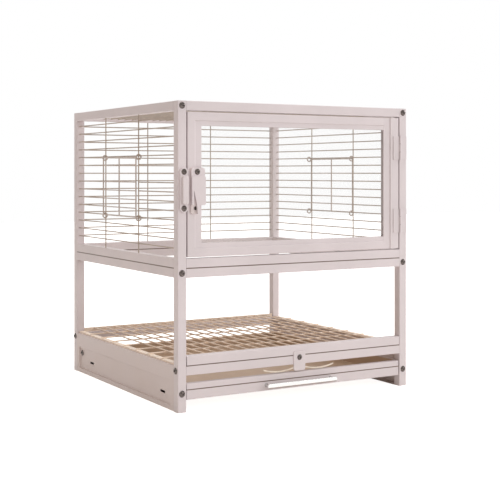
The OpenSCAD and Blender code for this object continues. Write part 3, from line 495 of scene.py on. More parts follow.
class Piece:
    """Mesh of one finished piece, drawn in millimetres and joined from several solids."""

    # A screw's point, as a share of its shank's radius and a length, and the rim under its head
    POINT, POINT_L, RIM = 0.7, 0.6, 0.15
    # Shares of the head's radius at which the dome's outline has a point
    DOME = (0.995, 0.96, 0.9, 0.82, 0.72, 0.6, 0.48)
    # The rim round the socket, against its corners, and how far it dips to them
    MOUTH, DIP = 1.16, 0.25

    def __init__(self, name, material):
        self.name = name
        self.material = material
        self.mesh = bpy.data.meshes.new(name)
        self.whole = bmesh.new()

    def take(self, part, place, closed=True):
        """Adds a part at its place; a closed one gets its faces turned outwards."""
        for vert in part.verts:
            vert.co = Vector(place(*vert.co)) * MM
        if closed:
            bmesh.ops.recalc_face_normals(part, faces=part.faces[:])
            if part.calc_volume(signed=True) < 0:
                bmesh.ops.reverse_faces(part, faces=part.faces[:])
        part.to_mesh(self.mesh)
        part.free()
        self.whole.from_mesh(self.mesh)
        return self

    def prism(self, shape, low, high, place=front, holes=(), rounding=0.4, both=False, clamp=False):
        """Solid over an outline, with round holes and softened edges at its far end, or at both."""
        part = bmesh.new()
        rims = [edge for loop in (shape, *holes) for edge in ring(part, loop, low)]
        if holes:
            bmesh.ops.triangle_fill(part, use_beauty=True, edges=rims)
        else:
            bmesh.ops.contextual_create(part, geom=rims)
        moved_along(part, part.faces[:], (0, 0, high - low))
        bmesh.ops.recalc_face_normals(part, faces=part.faces[:])
        ends = (low, high) if both else (high,)

        def at_end(edge):
            return any(all(abs(v.co.z - z) < SAME_HEIGHT for v in edge.verts) for z in ends)

        sharp = [e for e in part.edges if e.calc_face_angle(0.0) > SHARP and at_end(e)]
        softened(part, sharp, rounding, clamp=clamp)
        return self.take(part, place)

    def swept(self, profile, start, end, place):
        """Profile carried between two ends, each a height over the profile's first coordinate."""
        part = bmesh.new()
        bmesh.ops.contextual_create(part, geom=ring(part, profile, 0))
        moved_along(part, part.faces[:], (0, 0, 1))
        for vert in part.verts:
            vert.co.z = (end if vert.co.z > 0.5 else start)(vert.co.x)
        return self.take(part, place)

    def spun(self, profile, place=level, steps=36):
        """Solid spun about Z from (radius, height) points."""
        return self.take(turned(profile, steps), place)

    def button(self, place, head, high, shank, length, socket=3.0, deep=1.6):
        """Screw with a domed head over z = 0, a hexagon socket in it and its shank below."""
        dome = (head**2 + high**2) / (2 * high)
        corner = socket / math.sqrt(3)

        def skin_at(radius):
            return high - dome + math.sqrt(dome**2 - radius**2)

        mouth_z = skin_at(corner) - self.DIP
        point = [(0, -length), (shank * self.POINT, -length), (shank, self.POINT_L - length)]
        radii = [*(head * share for share in self.DOME), corner * self.MOUTH]
        part = turned([*point, (shank, 0), (head - self.RIM, 0), *((r, skin_at(r)) for r in radii)])
        mouth = [e for e in part.edges if e.is_boundary]
        bmesh.ops.create_circle(
            part, cap_ends=True, radius=corner, segments=6, matrix=Matrix.Translation((0, 0, mouth_z))
        )
        floor = part.faces[:][-1]
        bmesh.ops.bridge_loops(part, edges=mouth + floor.edges[:])
        moved_along(part, [floor], (0, 0, high - deep - mouth_z))
        return self.take(part, place)

    def blob(self, centre, size):
        """One weld nugget: a bead flattened to its half size along each axis."""
        part = bmesh.new()
        bmesh.ops.create_icosphere(part, subdivisions=1, radius=1.0)
        size = Vector(size) * looks().weld
        return self.take(part, lambda *p: tuple(c + q * r for c, q, r in zip(centre, p, size)))

    def done(self, body, slot, *nodes, thick=0.0):
        """Shades the piece, links it and hangs it on its body; a sheet gets its thickness inwards."""
        for face in self.whole.faces:
            face.smooth = True
        for edge in self.whole.edges:
            edge.smooth = edge.calc_face_angle(0.0) < SMOOTH_BELOW
        self.mesh.clear_geometry()
        self.whole.to_mesh(self.mesh)
        self.whole.free()
        self.mesh.materials.clear()
        self.mesh.materials.append(self.material)
        made = bpy.data.objects.new(self.name, self.mesh)
        bpy.context.scene.collection.objects.link(made)
        if thick:
            sheet = made.modifiers.new("Sheet", "SOLIDIFY")
            sheet.thickness = thick * MM
            sheet.offset = -1.0
        even = made.modifiers.new("Even shading", "WEIGHTED_NORMAL")
        even.keep_sharp = True
        even.weight = 100
        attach(made, body)
        if nodes:
            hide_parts(*nodes)
        return made


# ---------------------------------------------------------------- finishes

SLOT_OF = {row["node"]: row["material_slot"] for row in frame["record"]["subparts"]}
# Height in metres up to which the handle gets painted shade
HANDLE_SHADE_TOP = (span("drawer_handle", Z)[0] + 1.9) * MM
# What makes each finish, under the name it is given
FINISHES = {
    "frame_paint": lambda name: powder_coat(name, tuple(looks().paint), 0.5),
    # The rails' seams and the drawer front's pressed groove get painted shade
    "rail_paint": lambda name: powder_coat(
        name, tuple(looks().paint), 0.5, seams=(MID_TOP * MM, BASE_TOP * MM)
    ),
    "front_paint": lambda name: powder_coat(name, tuple(looks().paint), 0.5, seams=(GROOVE_Z * MM,)),
    "tray_paint": lambda name: powder_coat(name, (0.5, 0.365, 0.26), 0.4, 0.8),
    "sheet_paint": lambda name: powder_coat(name, tuple(looks().sheet_paint), 1.2, 0.8),
    # The walls' and feeder doors' wire colours are darker copies of the pale coat: painted shade
    "wire_coating": lambda name: coated_wire(name, tuple(looks().wire)),
    "feeder_coating": lambda name: coated_wire(name, tuple(looks().feeder_wire)),
    # The floor grid's wire colour is a brighter copy of the pale coat: painted light
    "grid_coating": lambda name: coated_wire(name, tuple(looks().grid_wire)),
    "screw_steel": lambda name: dark_steel(name, tuple(looks().steel)),
    "plug_plastic": lambda name: moulded_plastic(name, (0.27, 0.25, 0.24)),
    "pane_glass": lambda name: clear_pane(name, (0.9, 0.93, 0.92)),
    "handle_aluminium": lambda name: brushed_aluminium(name, (0.7, 0.7, 0.695), HANDLE_SHADE_TOP),
    "catch_wire_coating": lambda name: coated_wire(name, (0.82, 0.73, 0.62)),
}
SIDES = ("front", "back", "left", "right")
# Nodes whose finish isn't the one of their slot
OWN_FINISH = {
    **{f"sill_{side}": "rail_paint" for side in SIDES},
    **{f"mid_{side}_rail": "rail_paint" for side in SIDES},
    "base_front_rail": "rail_paint",
    "grid_front_bar": "rail_paint",
    "left_feeder_door": "feeder_coating",
    "right_feeder_door": "feeder_coating",
    "floor_grid": "grid_coating",
}


def finish(name):
    """A finish by its name, made on first use."""
    own_name = f"Cage {name}"
    return bpy.data.materials.get(own_name) or FINISHES[name](own_name)


# ---------------------------------------------------------------- operators


class CAGE_OT_solids(Operator):
    """Gives the carried-over solids their materials"""

    bl_idname = "cage.solids"
    bl_label = "Dress the solids"

    def execute(self, context):
        for node, slot in SLOT_OF.items():
            shown = frame["nodes"][node]
            shown.data.materials.clear()
            shown.data.materials.append(finish(OWN_FINISH.get(node, slot)))
        return {"FINISHED"}


class CAGE_OT_door(Operator):
    """Builds the front door's rounded, stepped and mitred members"""

    bl_idname = "cage.door"
    bl_label = "Build the door's frame"

    LEFT = span("door_left_stile", X)[0]
    RIGHT = span("door_hinge_stile", X)[1]
    LOW, HIGH = span("door_left_stile", Z)
    # Widths of a member's face and of the lip beside it
    FACE, LIP, LEFT_LIP = 13.9, 7.6, 12.0
    HINGE_FACE, HINGE_LIP = 17.9, 13.7
    # Depths behind the door's face: of the front lip, the pane's two sides, the back lip and the back
    FRONT_LIP, PANE_FRONT, PANE_BACK, BACK_LIP, DOOR_T = 1.9, 5.0, 8.0, 9.5, 12.0

    def profile(self, face, lip):
        """Tube with a lip before and behind the pane, as distances from the door's edge and its face."""
        inner = face + lip
        return outline([
            (0, 0, 1.2), (face, 0, 1.1), (face, self.FRONT_LIP, 0.35), (inner, self.FRONT_LIP, 0.7),
            (inner, self.PANE_FRONT, 0.4), (face, self.PANE_FRONT, 0), (face, self.PANE_BACK, 0),
            (inner, self.PANE_BACK, 0.4), (inner, self.BACK_LIP, 0.4), (face, self.BACK_LIP, 0),
            (face, self.DOOR_T, 1.0), (0, self.DOOR_T, 1.0),
        ], 4)

    def member(self, node, profile, start, end, place):
        """One member, swept over its length and named for its solid."""
        made = Piece(f"{node}_member", finish("frame_paint"))
        made.swept(profile, start, end, place)
        made.done("front_door", "frame_paint", node)

    def mitre(self, lip, other_lip):
        """Cut of a member's end, level with the other member's face and lip."""
        return lambda f: f if f <= self.FACE else self.FACE + (f - self.FACE) * other_lip / lip

    def execute(self, context):
        high = self.HIGH - self.LOW
        wide = self.RIGHT - self.LEFT - self.HINGE_FACE - self.HINGE_LIP
        left = self.mitre(self.LEFT_LIP, self.LIP)
        cross = self.mitre(self.LIP, self.LEFT_LIP)
        rail = self.profile(self.FACE, self.LIP)
        self.member(
            "door_left_stile", self.profile(self.FACE, self.LEFT_LIP), left, lambda f: high - left(f),
            lambda f, d, s: (self.LEFT + f, Y_FRONT + d, self.LOW + s),
        )
        self.member(
            "door_hinge_stile", self.profile(self.HINGE_FACE, self.HINGE_LIP), lambda f: 0.0, lambda f: high,
            lambda f, d, s: (self.RIGHT - f, Y_FRONT + d, self.LOW + s),
        )
        self.member(
            "door_bottom_rail", rail, cross, lambda f: wide,
            lambda f, d, s: (self.LEFT + s, Y_FRONT + d, self.LOW + f),
        )
        self.member(
            "door_top_rail", rail, cross, lambda f: wide,
            lambda f, d, s: (self.LEFT + s, Y_FRONT + d, self.HIGH - f),
        )
        return {"FINISHED"}


class CAGE_OT_hinges(Operator):
    """Builds the hinge leaves with their knuckles, and the pins"""

    bl_idname = "cage.hinges"
    bl_label = "Build the hinges"

    HALF_L = 21.0
    # Distances from the pin: a leaf's two sides, and the root that joins a knuckle to it
    LEAF_IN, LEAF_OUT, ROOT_IN, ROOT_OUT = 2.3, 14.3, 1.0, 2.9
    LEAF_T, LEAF_R = 1.5, 1.6
    KNUCKLE_R, KNUCKLE_L, PIN_R, PIN_HOLE_R = 2.0, 13.7, 1.1, 1.15
    PIN_X, PIN_Y = X_IN, Y_FRONT - LEAF_IN

    def leaf(self, piece, side, z):
        """Leaf to the left (-1) or right (1) of the pin, about a height."""
        x0, x1 = sorted((self.PIN_X + side * self.LEAF_IN, self.PIN_X + side * self.LEAF_OUT))
        shape = card(x0, z - self.HALF_L, x1, z + self.HALF_L, self.LEAF_R)
        piece.prism(shape, 0, self.LEAF_T, rounding=0.35)

    def knuckle(self, piece, side, low):
        """Knuckle round the pin, over its low end, with its root to the left or right."""
        piece.prism(
            disc(self.PIN_X, self.PIN_Y, self.KNUCKLE_R, 48), low, low + self.KNUCKLE_L, level,
            holes=[disc(self.PIN_X, self.PIN_Y, self.PIN_HOLE_R, 48)], rounding=0.25, both=True,
        )
        x0, x1 = sorted((self.PIN_X + side * self.ROOT_IN, self.PIN_X + side * self.ROOT_OUT))
        piece.prism(card(x0, low, x1, low + self.KNUCKLE_L, 0.1), 0, self.LEAF_T, rounding=0.08)

    def execute(self, context):
        post = Piece("post_hinge_leaves", finish("frame_paint"))
        door = Piece("door_hinge_leaves", finish("frame_paint"))
        pins = Piece("hinge_pin_pair", finish("screw_steel"))
        half, r = self.HALF_L, self.PIN_R
        crown = [(r, half - 0.6), (r - 0.15, half - 0.2), (r - 0.5, half), (0, half)]
        line = [(radius, -height) for radius, height in reversed(crown)] + crown
        low, high = span("hinge_post_leaves", Z)
        for z in (low + half, high - half):
            self.leaf(post, 1, z)
            self.leaf(door, -1, z)
            self.knuckle(post, 1, z - half)
            self.knuckle(post, 1, z + half - self.KNUCKLE_L)
            self.knuckle(door, -1, z - self.KNUCKLE_L / 2)
            pins.spun(line, turned_to((self.PIN_X, self.PIN_Y, z), (0, 0, 1)), 24)
        post.done("frame", "frame_paint", "hinge_post_leaves")
        door.done("front_door", "frame_paint", "hinge_door_leaves")
        pins.done("frame", "screw_steel", "hinge_pins")
        return {"FINISHED"}


class CAGE_OT_latch(Operator):
    """Builds the latch's keeper with its rib, the base plate and the lever with its finger and tail"""

    bl_idname = "cage.latch"
    bl_label = "Build the latch"

    RIB_EDGE, RIB_W, RIB_L, RIB_R, RIB_OUT = 0.5, 10.6, 43.5, 2.2, 7.5
    FOOT_W, CORNER_R = 14.2, 3
    EAR_T, EAR_GAP, EAR_LOW, EAR_TOP = 1.5, 0.2, -12.0, 5.9
    # The lever against its pivot: its sides, its top, its finger's and plate's low end and its tail's tip
    LEVER_LEFT, LEVER_RIGHT, LEVER_TOP, LEVER_LOW, TAIL_TIP = -10.5, 13.7, -7.0, -52.5, -66.0
    # The finger's right corner at its low end, and the top of the slot between it and the tail
    FINGER_RIGHT, SLOT_X, SLOT_TOP = -6.6, -7.4, -27.6

    def execute(self, context):
        self.keeper()
        self.base()
        self.lever()
        return {"FINISHED"}

    def keeper(self):
        """Plate on the post, with a raised rib along it."""
        made = Piece("ribbed_keeper", finish("frame_paint"))
        plate = card(KEEPER_LEFT, KEEPER_LOW, KEEPER_RIGHT, KEEPER_HIGH, KEEPER_END, 10)
        holes = [disc(KEEPER_X, z, SMALL_HOLE_R) for z in (LATCH_HIGH_Z, LATCH_LOW_Z)]
        made.prism(plate, 0, KEEPER_T, holes=holes, rounding=0.7)
        right = KEEPER_RIGHT - self.RIB_EDGE
        z_mid = (KEEPER_LOW + KEEPER_HIGH) / 2
        rib = card(right - self.RIB_W, z_mid - self.RIB_L / 2, right, z_mid + self.RIB_L / 2, self.RIB_R)
        made.prism(rib, KEEPER_T / 2, self.RIB_OUT, rounding=1.1)
        made.done("frame", "frame_paint", "latch_keeper")

    def base(self):
        """Plate on the door, wide at the pivot and narrow round the sunk screw."""
        made = Piece("stepped_base", finish("sheet_paint"))
        low, high = span("latch_base", Z)
        foot, step, r = BASE_LEFT + self.FOOT_W, LATCH_LOW_Z + KEEPER_END, self.CORNER_R
        shape = outline([
            (BASE_LEFT, low, r), (foot, low, r), (foot, step, 0.8), (BASE_RIGHT, step, r),
            (BASE_RIGHT, high, r), (BASE_LEFT, high, r),
        ])
        holes = [disc(PIVOT_X, LATCH_HIGH_Z, SMALL_HOLE_R), disc(SUNK_SCREW_X, LATCH_LOW_Z, SUNK_HOLE_R)]
        made.prism(shape, 0, KEEPER_T, holes=holes, rounding=0.6)
        made.done("front_door", "sheet_paint", "latch_base")

    def lever(self):
        """Lever with a finger on its left, a tail in its middle and a thin ear round the pivot's screw."""
        made = Piece("fingered_lever", finish("frame_paint"))
        left, right, low, r = self.LEVER_LEFT, self.LEVER_RIGHT, self.LEVER_LOW, self.CORNER_R
        back = KEEPER_T + self.EAR_GAP

        def about_pivot(corners):
            return outline([(PIVOT_X + x, LATCH_HIGH_Z + z, radius) for x, z, radius in corners])

        shape = about_pivot([
            (left, self.LEVER_TOP, r), (left, low, 1.6), (self.FINGER_RIGHT, low, 1.3),
            (self.SLOT_X, self.SLOT_TOP, 0.25), (-1.9, low + 1.5, 1.5), (-0.4, self.TAIL_TIP, 1.0),
            (2.0, self.TAIL_TIP, 1.0), (3.35, low + 0.9, 0.8), (4.6, low, 0.6), (right, low, r),
            (right, self.LEVER_TOP, r),
        ])
        made.prism(shape, back, self.RIB_OUT, rounding=0.9, clamp=True)
        ear = about_pivot([
            (left, self.EAR_LOW, 0.6), (right, self.EAR_LOW, 0.6), (right, self.EAR_TOP, r),
            (left, self.EAR_TOP, r),
        ])
        made.prism(ear, back, back + self.EAR_T, holes=[disc(PIVOT_X, LATCH_HIGH_Z, 2.1)], rounding=0.4)
        made.done("latch", "frame_paint", "latch_lever")


class CAGE_OT_screws(Operator):
    """Builds the domed button screws and the sunk screw of the latch"""

    bl_idname = "cage.screws"
    bl_label = "Build the screws"

    # Head's radius and height, and the shank's radius
    LARGE, SMALL = (5.4, 3.2, 2.5), (4.75, 2.6, 2.0)
    # Lengths of the shanks
    FRAME_L, PLATE_L, KEEPER_L, CATCH_L, LATCH_L = 25.0, 12.6, 7.2, 5.7, 9.85
    # Heights of the screws that hold the top rails, the mid rails and the runners
    HEIGHTS = (FRAME_TOP - TUBE / 2, MID_LOW + TUBE / 2, 29.6)
    # How far before the door's face the heads of the catch's and the latch's screws sit
    CATCH_OUT, LATCH_OUT = 1.5, 4.9
    # Degrees by which the first frame screw's socket is turned, and each next one after it
    FIRST_TURN, NEXT_TURN = 11, 37

    def drive(self, piece, point, out, size, length, turn):
        """Puts one screw in, its socket turned as the last pull of the key left it."""
        piece.button(turned_to(point, out, turn), *size, length)

    def execute(self, context):
        steel = finish("screw_steel")
        frame_set = Piece("frame_button_screws", steel)
        turn = self.FIRST_TURN
        for side in (-1, 1):
            for y, out in ((Y_FRONT, -1), (Y_BACK, 1)):
                for z in self.HEIGHTS:
                    turn += self.NEXT_TURN
                    point = (side * POST_X, y, z)
                    self.drive(frame_set, point, (0, out, 0), self.LARGE, self.FRAME_L, turn)
                point = (side * X_OUT, y - out * TUBE / 2, BASE_TOP - TUBE / 2)
                self.drive(frame_set, point, (side, 0, 0), self.LARGE, self.FRAME_L, turn)
        frame_set.done("frame", "screw_steel", "frame_screws")

        base_set = Piece("side_plate_screws", steel)
        for side in (-1, 1):
            point = (side * PRESS_X, PLATE_SCREW_Y, PLATE_SCREW_Z)
            self.drive(base_set, point, (side, 0, 0), self.LARGE, self.PLATE_L, 23)
        base_set.done("frame", "screw_steel", "base_screws")

        keeper_set = Piece("keeper_button_screws", steel)
        for z, turn in ((LATCH_HIGH_Z, 8), (LATCH_LOW_Z, 41)):
            point = (KEEPER_X, Y_FRONT - KEEPER_T, z)
            self.drive(keeper_set, point, (0, -1, 0), self.SMALL, self.KEEPER_L, turn)
        keeper_set.done("frame", "screw_steel", "keeper_screws")

        catch = Piece("catch_button_screw", steel)
        point = (0, Y_FRONT - self.CATCH_OUT, CATCH_SCREW_Z)
        self.drive(catch, point, (0, -1, 0), self.SMALL, self.CATCH_L, 19)
        catch.done("frame", "screw_steel", "catch_screw")

        latch_set = Piece("latch_button_screws", steel)
        point = (PIVOT_X, Y_FRONT - self.LATCH_OUT, LATCH_HIGH_Z)
        self.drive(latch_set, point, (0, -1, 0), self.SMALL, self.LATCH_L, 27)
        shank_line = [(0, -7.2), (1.0, -7.2), (1.5, -6.7), (1.5, -1.0), (2.9, -1.0), (3.0, -0.9)]
        sunk_head = [(3.0, -0.12), (2.88, 0), (1.0, 0), (0.9, -0.5), (0, -0.5)]
        sunk_place = turned_to((SUNK_SCREW_X, Y_FRONT - KEEPER_T, LATCH_LOW_Z), (0, -1, 0))
        latch_set.spun(shank_line + sunk_head, sunk_place)
        latch_set.done("front_door", "screw_steel", "latch_screws")
        return {"FINISHED"}


class CAGE_OT_side_plates(Operator):
    """Builds the folded side plates with their softly pressed panels and slots"""

    bl_idname = "cage.side_plates"
    bl_label = "Build the side plates"

    BEND, BEND_STEPS, PLATE_T = 1.8, 5, 1.2
    # The rim of the pressed panel: from the plate's ends, its heights and its corners' radius
    RIM_END, RIM_LOW, RIM_HIGH, RIM_R = 10.4, 7.4, 48.6, 5.6
    # Width and depth of each step of the slope from the rim down to the panel
    SLOPE = ((0.4, 0.12), (0.35, 0.48), (0.25, 0.8), (0.25, 0.9), (0.3, 0.52), (0.45, 0.18))
    SLOTS_Y = (Y_FRONT + 60.0, Y_BACK - 82.0)
    SLOT_L, SLOT_W, SLOT_Z, SLOT_R = 18.0, 4.0, 24.4, 1.99

    def surface(self, part, side):
        """Outer skin of one plate: its face with the panel, slots and hole, and its two flanges."""
        def verts(x, points):
            return [part.verts.new((side * x, y, z)) for y, z in points]

        def rim(row):
            return [part.edges.get(pair) or part.edges.new(pair) for pair in zip(row, row[1:] + row[:1])]

        low, high = self.BEND, BASE_TOP - self.BEND
        corners = [(Y_IN_FRONT, low), (Y_IN_BACK, low), (Y_IN_BACK, high), (Y_IN_FRONT, high)]
        border = verts(X_OUT, corners)
        y0, y1 = Y_IN_FRONT + self.RIM_END, Y_IN_BACK - self.RIM_END
        mouth = rim(verts(X_OUT, card(y0, self.RIM_LOW, y1, self.RIM_HIGH, self.RIM_R)))
        panel = bmesh.ops.contextual_create(part, geom=mouth)["faces"]
        bmesh.ops.triangle_fill(part, use_beauty=True, edges=rim(border) + mouth)
        if panel[0].normal.x * side < 0:
            bmesh.ops.reverse_faces(part, faces=panel)
        for wide, deep in self.SLOPE:
            bmesh.ops.inset_region(part, faces=panel, thickness=wide, depth=-deep, use_even_offset=True)
        sunk = panel[0].edges[:]
        bmesh.ops.delete(part, geom=panel, context="FACES_ONLY")
        half_l, half_w = self.SLOT_L / 2, self.SLOT_W / 2
        openings = [
            card(y - half_l, self.SLOT_Z - half_w, y + half_l, self.SLOT_Z + half_w, self.SLOT_R, 8)
            for y in self.SLOTS_Y
        ]
        openings.append(disc(PLATE_SCREW_Y, PLATE_SCREW_Z, LARGE_HOLE_R))
        holes = [edge for opening in openings for edge in rim(verts(PRESS_X, opening))]
        bmesh.ops.triangle_fill(part, use_beauty=True, edges=sunk + holes)
        self.flange(part, side, border[:2], low, -1)
        self.flange(part, side, border[2:], high, 1)

    def flange(self, part, side, ends, z_turn, up):
        """Bends the skin inwards from an edge of the plate, about a height, and runs it on level."""
        row = [part.edges.get(ends)]
        angles = [math.pi / 2 * k / self.BEND_STEPS for k in range(1, self.BEND_STEPS + 1)]
        path = [
            (X_OUT - self.BEND + self.BEND * math.cos(a), z_turn + up * self.BEND * math.sin(a))
            for a in angles
        ]
        for x, z in [*path, (X_IN, z_turn + up * self.BEND)]:
            made = bmesh.ops.extrude_edge_only(part, edges=row)["geom"]
            fresh = [g for g in made if isinstance(g, bmesh.types.BMVert)]
            row = [e for e in part.edges if e.verts[0] in fresh and e.verts[1] in fresh]
            for vert in fresh:
                vert.co.x, vert.co.z = side * x, z

    def execute(self, context):
        for side, name in ((-1, "left"), (1, "right")):
            part = bmesh.new()
            self.surface(part, side)
            bmesh.ops.recalc_face_normals(part, faces=part.faces[:])
            if sum(f.normal.x * f.calc_area() for f in part.faces) * side < 0:
                bmesh.ops.reverse_faces(part, faces=part.faces[:])
            made = Piece(f"{name}_pressed_plate", finish("sheet_paint")).take(part, level, closed=False)
            made.done("frame", "sheet_paint", f"{name}_side_plate", thick=self.PLATE_T)
        return {"FINISHED"}


class CAGE_OT_drawer(Operator):
    """Builds the drawer's folded front, its tray with rounded bends and its handle"""

    bl_idname = "cage.drawer"
    bl_label = "Build the drawer"

    SHEET, GROOVE_DEPTH, GROOVE_HALF_W = 1.2, 0.6, 0.45
    TRAY_CORNER_R, TRAY_BEND_R = 4.0, 1.5
    BAR_T, BAR_R, STANDOFF_IN = 4.0, 2.9, 5.0

    def execute(self, context):
        self.front()
        self.tray()
        self.handle()
        return {"FINISHED"}

    def front(self):
        """Sheet folded back at its top and bottom, with a pressed groove along its middle."""
        (left, right), (y, y_back), (low, high) = (span("drawer_front", axis) for axis in (X, Y, Z))
        deep, tall, sheet, groove = y_back - y, high - low, self.SHEET, GROOVE_Z - low
        fold = outline([
            (deep, 0, 0.3), (0, 0, 1.7), (0, groove - self.GROOVE_HALF_W, 0.2),
            (self.GROOVE_DEPTH, groove, 0.15), (0, groove + self.GROOVE_HALF_W, 0.2), (0, tall, 1.7),
            (deep, tall, 0.3), (deep, tall - sheet, 0.3), (2 * sheet, tall - sheet, 0.6),
            (2 * sheet, sheet, 0.6), (deep, sheet, 0.3),
        ], 5)
        made = Piece("folded_front", finish("front_paint"))
        made.swept(fold, lambda d: left, lambda d: right, lambda d, h, x: (x, y + d, low + h))
        made.done("drawer", "frame_paint", "drawer_front")

    def tray(self):
        """Open box of bent sheet."""
        ends = [span("drawer_tray", axis) for axis in (X, Y, Z)]
        size = [high - low for low, high in ends]
        middle = Vector([(low + high) / 2 for low, high in ends])
        made = Piece("bent_tray", finish("tray_paint"))
        part = bmesh.new()
        bmesh.ops.create_cube(part, size=1.0, matrix=Matrix.Diagonal((*size, 1)))
        upright = [e for e in part.edges if abs(e.verts[0].co.z - e.verts[1].co.z) > 1]
        softened(part, upright, self.TRAY_CORNER_R, 5)
        top = max(part.faces, key=lambda f: f.calc_center_median().z)
        bmesh.ops.inset_region(part, faces=[top], thickness=self.SHEET, use_even_offset=True)
        moved_along(part, [top], (0, 0, self.SHEET - size[Z]))
        bmesh.ops.recalc_face_normals(part, faces=part.faces[:])
        low_edges = [e for e in part.edges if max(v.co.z for v in e.verts) < 0]
        softened(part, [e for e in low_edges if e.calc_face_angle(0) > SHARP], self.TRAY_BEND_R)
        made.take(part, lambda *p: middle + Vector(p))
        made.done("drawer", "sheet_paint", "drawer_tray")

    def handle(self):
        """Flat bar on two turned standoffs."""
        (left, right), (y, _), (low, high) = (span("drawer_handle", axis) for axis in (X, Y, Z))
        out = Y_FRONT - y
        made = Piece("bar_handle", finish("handle_aluminium"))
        bar = card(left, low, right, high, self.BAR_R, 8)
        made.prism(bar, out - self.BAR_T, out, rounding=0.8, both=True)
        line = [
            (0, -1.5), (3.3, -1.5), (3.3, -1.1), (3.0, -0.5), (3.0, 8.6), (3.35, 9.4), (3.35, 9.9), (0, 9.9),
        ]
        for x in (left + self.STANDOFF_IN, right - self.STANDOFF_IN):
            made.spun(line, turned_to((x, Y_FRONT, (low + high) / 2), (0, -1, 0)), 32)
        made.done("drawer", "handle_aluminium", "drawer_handle")


class CAGE_OT_small(Operator):
    """Builds the catch plate, the post caps and the foot plugs"""

    bl_idname = "cage.small"
    bl_label = "Build the catch plate and the plugs"

    CATCH_T, CATCH_R = 1.5, 4
    # Gap from a tube's face to the plug in its end
    PLUG_IN = 1.25

    def execute(self, context):
        catch = Piece("rounded_catch_plate", finish("frame_paint"))
        (left, right), (low, high) = span("catch_plate", X), span("catch_plate", Z)
        plate = card(left, low, right, high, self.CATCH_R, 8)
        catch.prism(plate, 0, self.CATCH_T, holes=[disc(0, CATCH_SCREW_Z, SMALL_HOLE_R)], rounding=0.5)
        catch.done("frame", "frame_paint", "catch_plate")
        for name, node in (("chamfered_caps", "post_caps"), ("chamfered_feet", "foot_plugs")):
            low, high = span(node, Z)
            near, far = self.PLUG_IN, TUBE - self.PLUG_IN
            made = Piece(name, finish("plug_plastic"))
            for x in (-X_OUT, X_IN):
                for y in (Y_FRONT, Y_IN_BACK):
                    shape = card(x + near, y + near, x + far, y + far, 0.8)
                    made.prism(shape, low, high, level, rounding=0.7, both=True)
            made.done("frame", "plug_plastic", node)
        return {"FINISHED"}


class CAGE_OT_welds(Operator):
    """Adds the weld nuggets where wires cross"""

    bl_idname = "cage.welds"
    bl_label = "Add the welds"

    # The two stays of each wall and of the roof, from their middle, and how far that is shifted
    STAY, SIDE_SHIFT, BACK_SHIFT = 70.2, 4.6, -2.4
    # How far inside the frame's outer faces and its top the walls' and the roof's welds sit
    WALL_IN, ROOF_DROP = 4.65, 9.15
    ROOF_WIRES = 28
    # Distances between the floor grid's wires and its cross strips, and its welds' height over the rails
    GRID_PITCH, GRID_CROSS_PITCH, GRID_UP = 20.8, 50.0, 4.55
    # A feeder door's bars, from its middle, its depth inside the frame's outer face and its rows
    FEEDER_BARS, FEEDER_IN, FEEDER_ROWS = (-70.0, 0.0, 70.0), 1.3, ROWS[4:10]

    def execute(self, context):
        self.walls()
        self.grid()
        for side, name in ((-1, "left"), (1, "right")):
            self.feeder(side, name)
        return {"FINISHED"}

    def walls(self):
        """Nuggets of the side walls, the back wall and the roof."""
        made = Piece("wall_welds", finish("wire_coating"))
        for side in (-1, 1):
            for stay in (-self.STAY, self.STAY):
                for z in ROWS:
                    place = (side * (X_OUT - self.WALL_IN), Y_MID + self.SIDE_SHIFT + stay, z)
                    made.blob(place, (1.3, 1.5, 1.35))
        for stay in (-self.STAY, self.STAY):
            for z in ROWS:
                made.blob((self.BACK_SHIFT + stay, Y_BACK - self.WALL_IN, z), (1.5, 1.3, 1.35))
        for stay in (-self.STAY, self.STAY):
            for i in range(self.ROOF_WIRES):
                x = WIRE_PITCH * (i - (self.ROOF_WIRES - 1) / 2)
                made.blob((x, Y_MID + stay, FRAME_TOP - self.ROOF_DROP), (1.35, 1.5, 1.3))
        made.done("frame", "wire_coating")

    def grid(self):
        """Nuggets of the floor grid."""
        made = Piece("grid_welds", finish("grid_coating"))
        for i in range(-9, 10):
            for j in range(-3, 4):
                place = (self.GRID_PITCH * i, Y_MID + self.GRID_CROSS_PITCH * j, BASE_TOP + self.GRID_UP)
                made.blob(place, (1.7, 1.7, 1.5))
        made.done("grid", "wire_coating")

    def feeder(self, side, name):
        """Nuggets of one feeder door."""
        made = Piece(f"{name}_feeder_welds", finish("feeder_coating"))
        middle = sum(span(f"{name}_feeder_door", Y)) / 2
        for bar in self.FEEDER_BARS:
            for z in self.FEEDER_ROWS:
                made.blob((side * (X_OUT - self.FEEDER_IN), middle + bar, z), (1.28, 1.7, 1.5))
        made.done(f"{name}_feeder", "wire_coating")


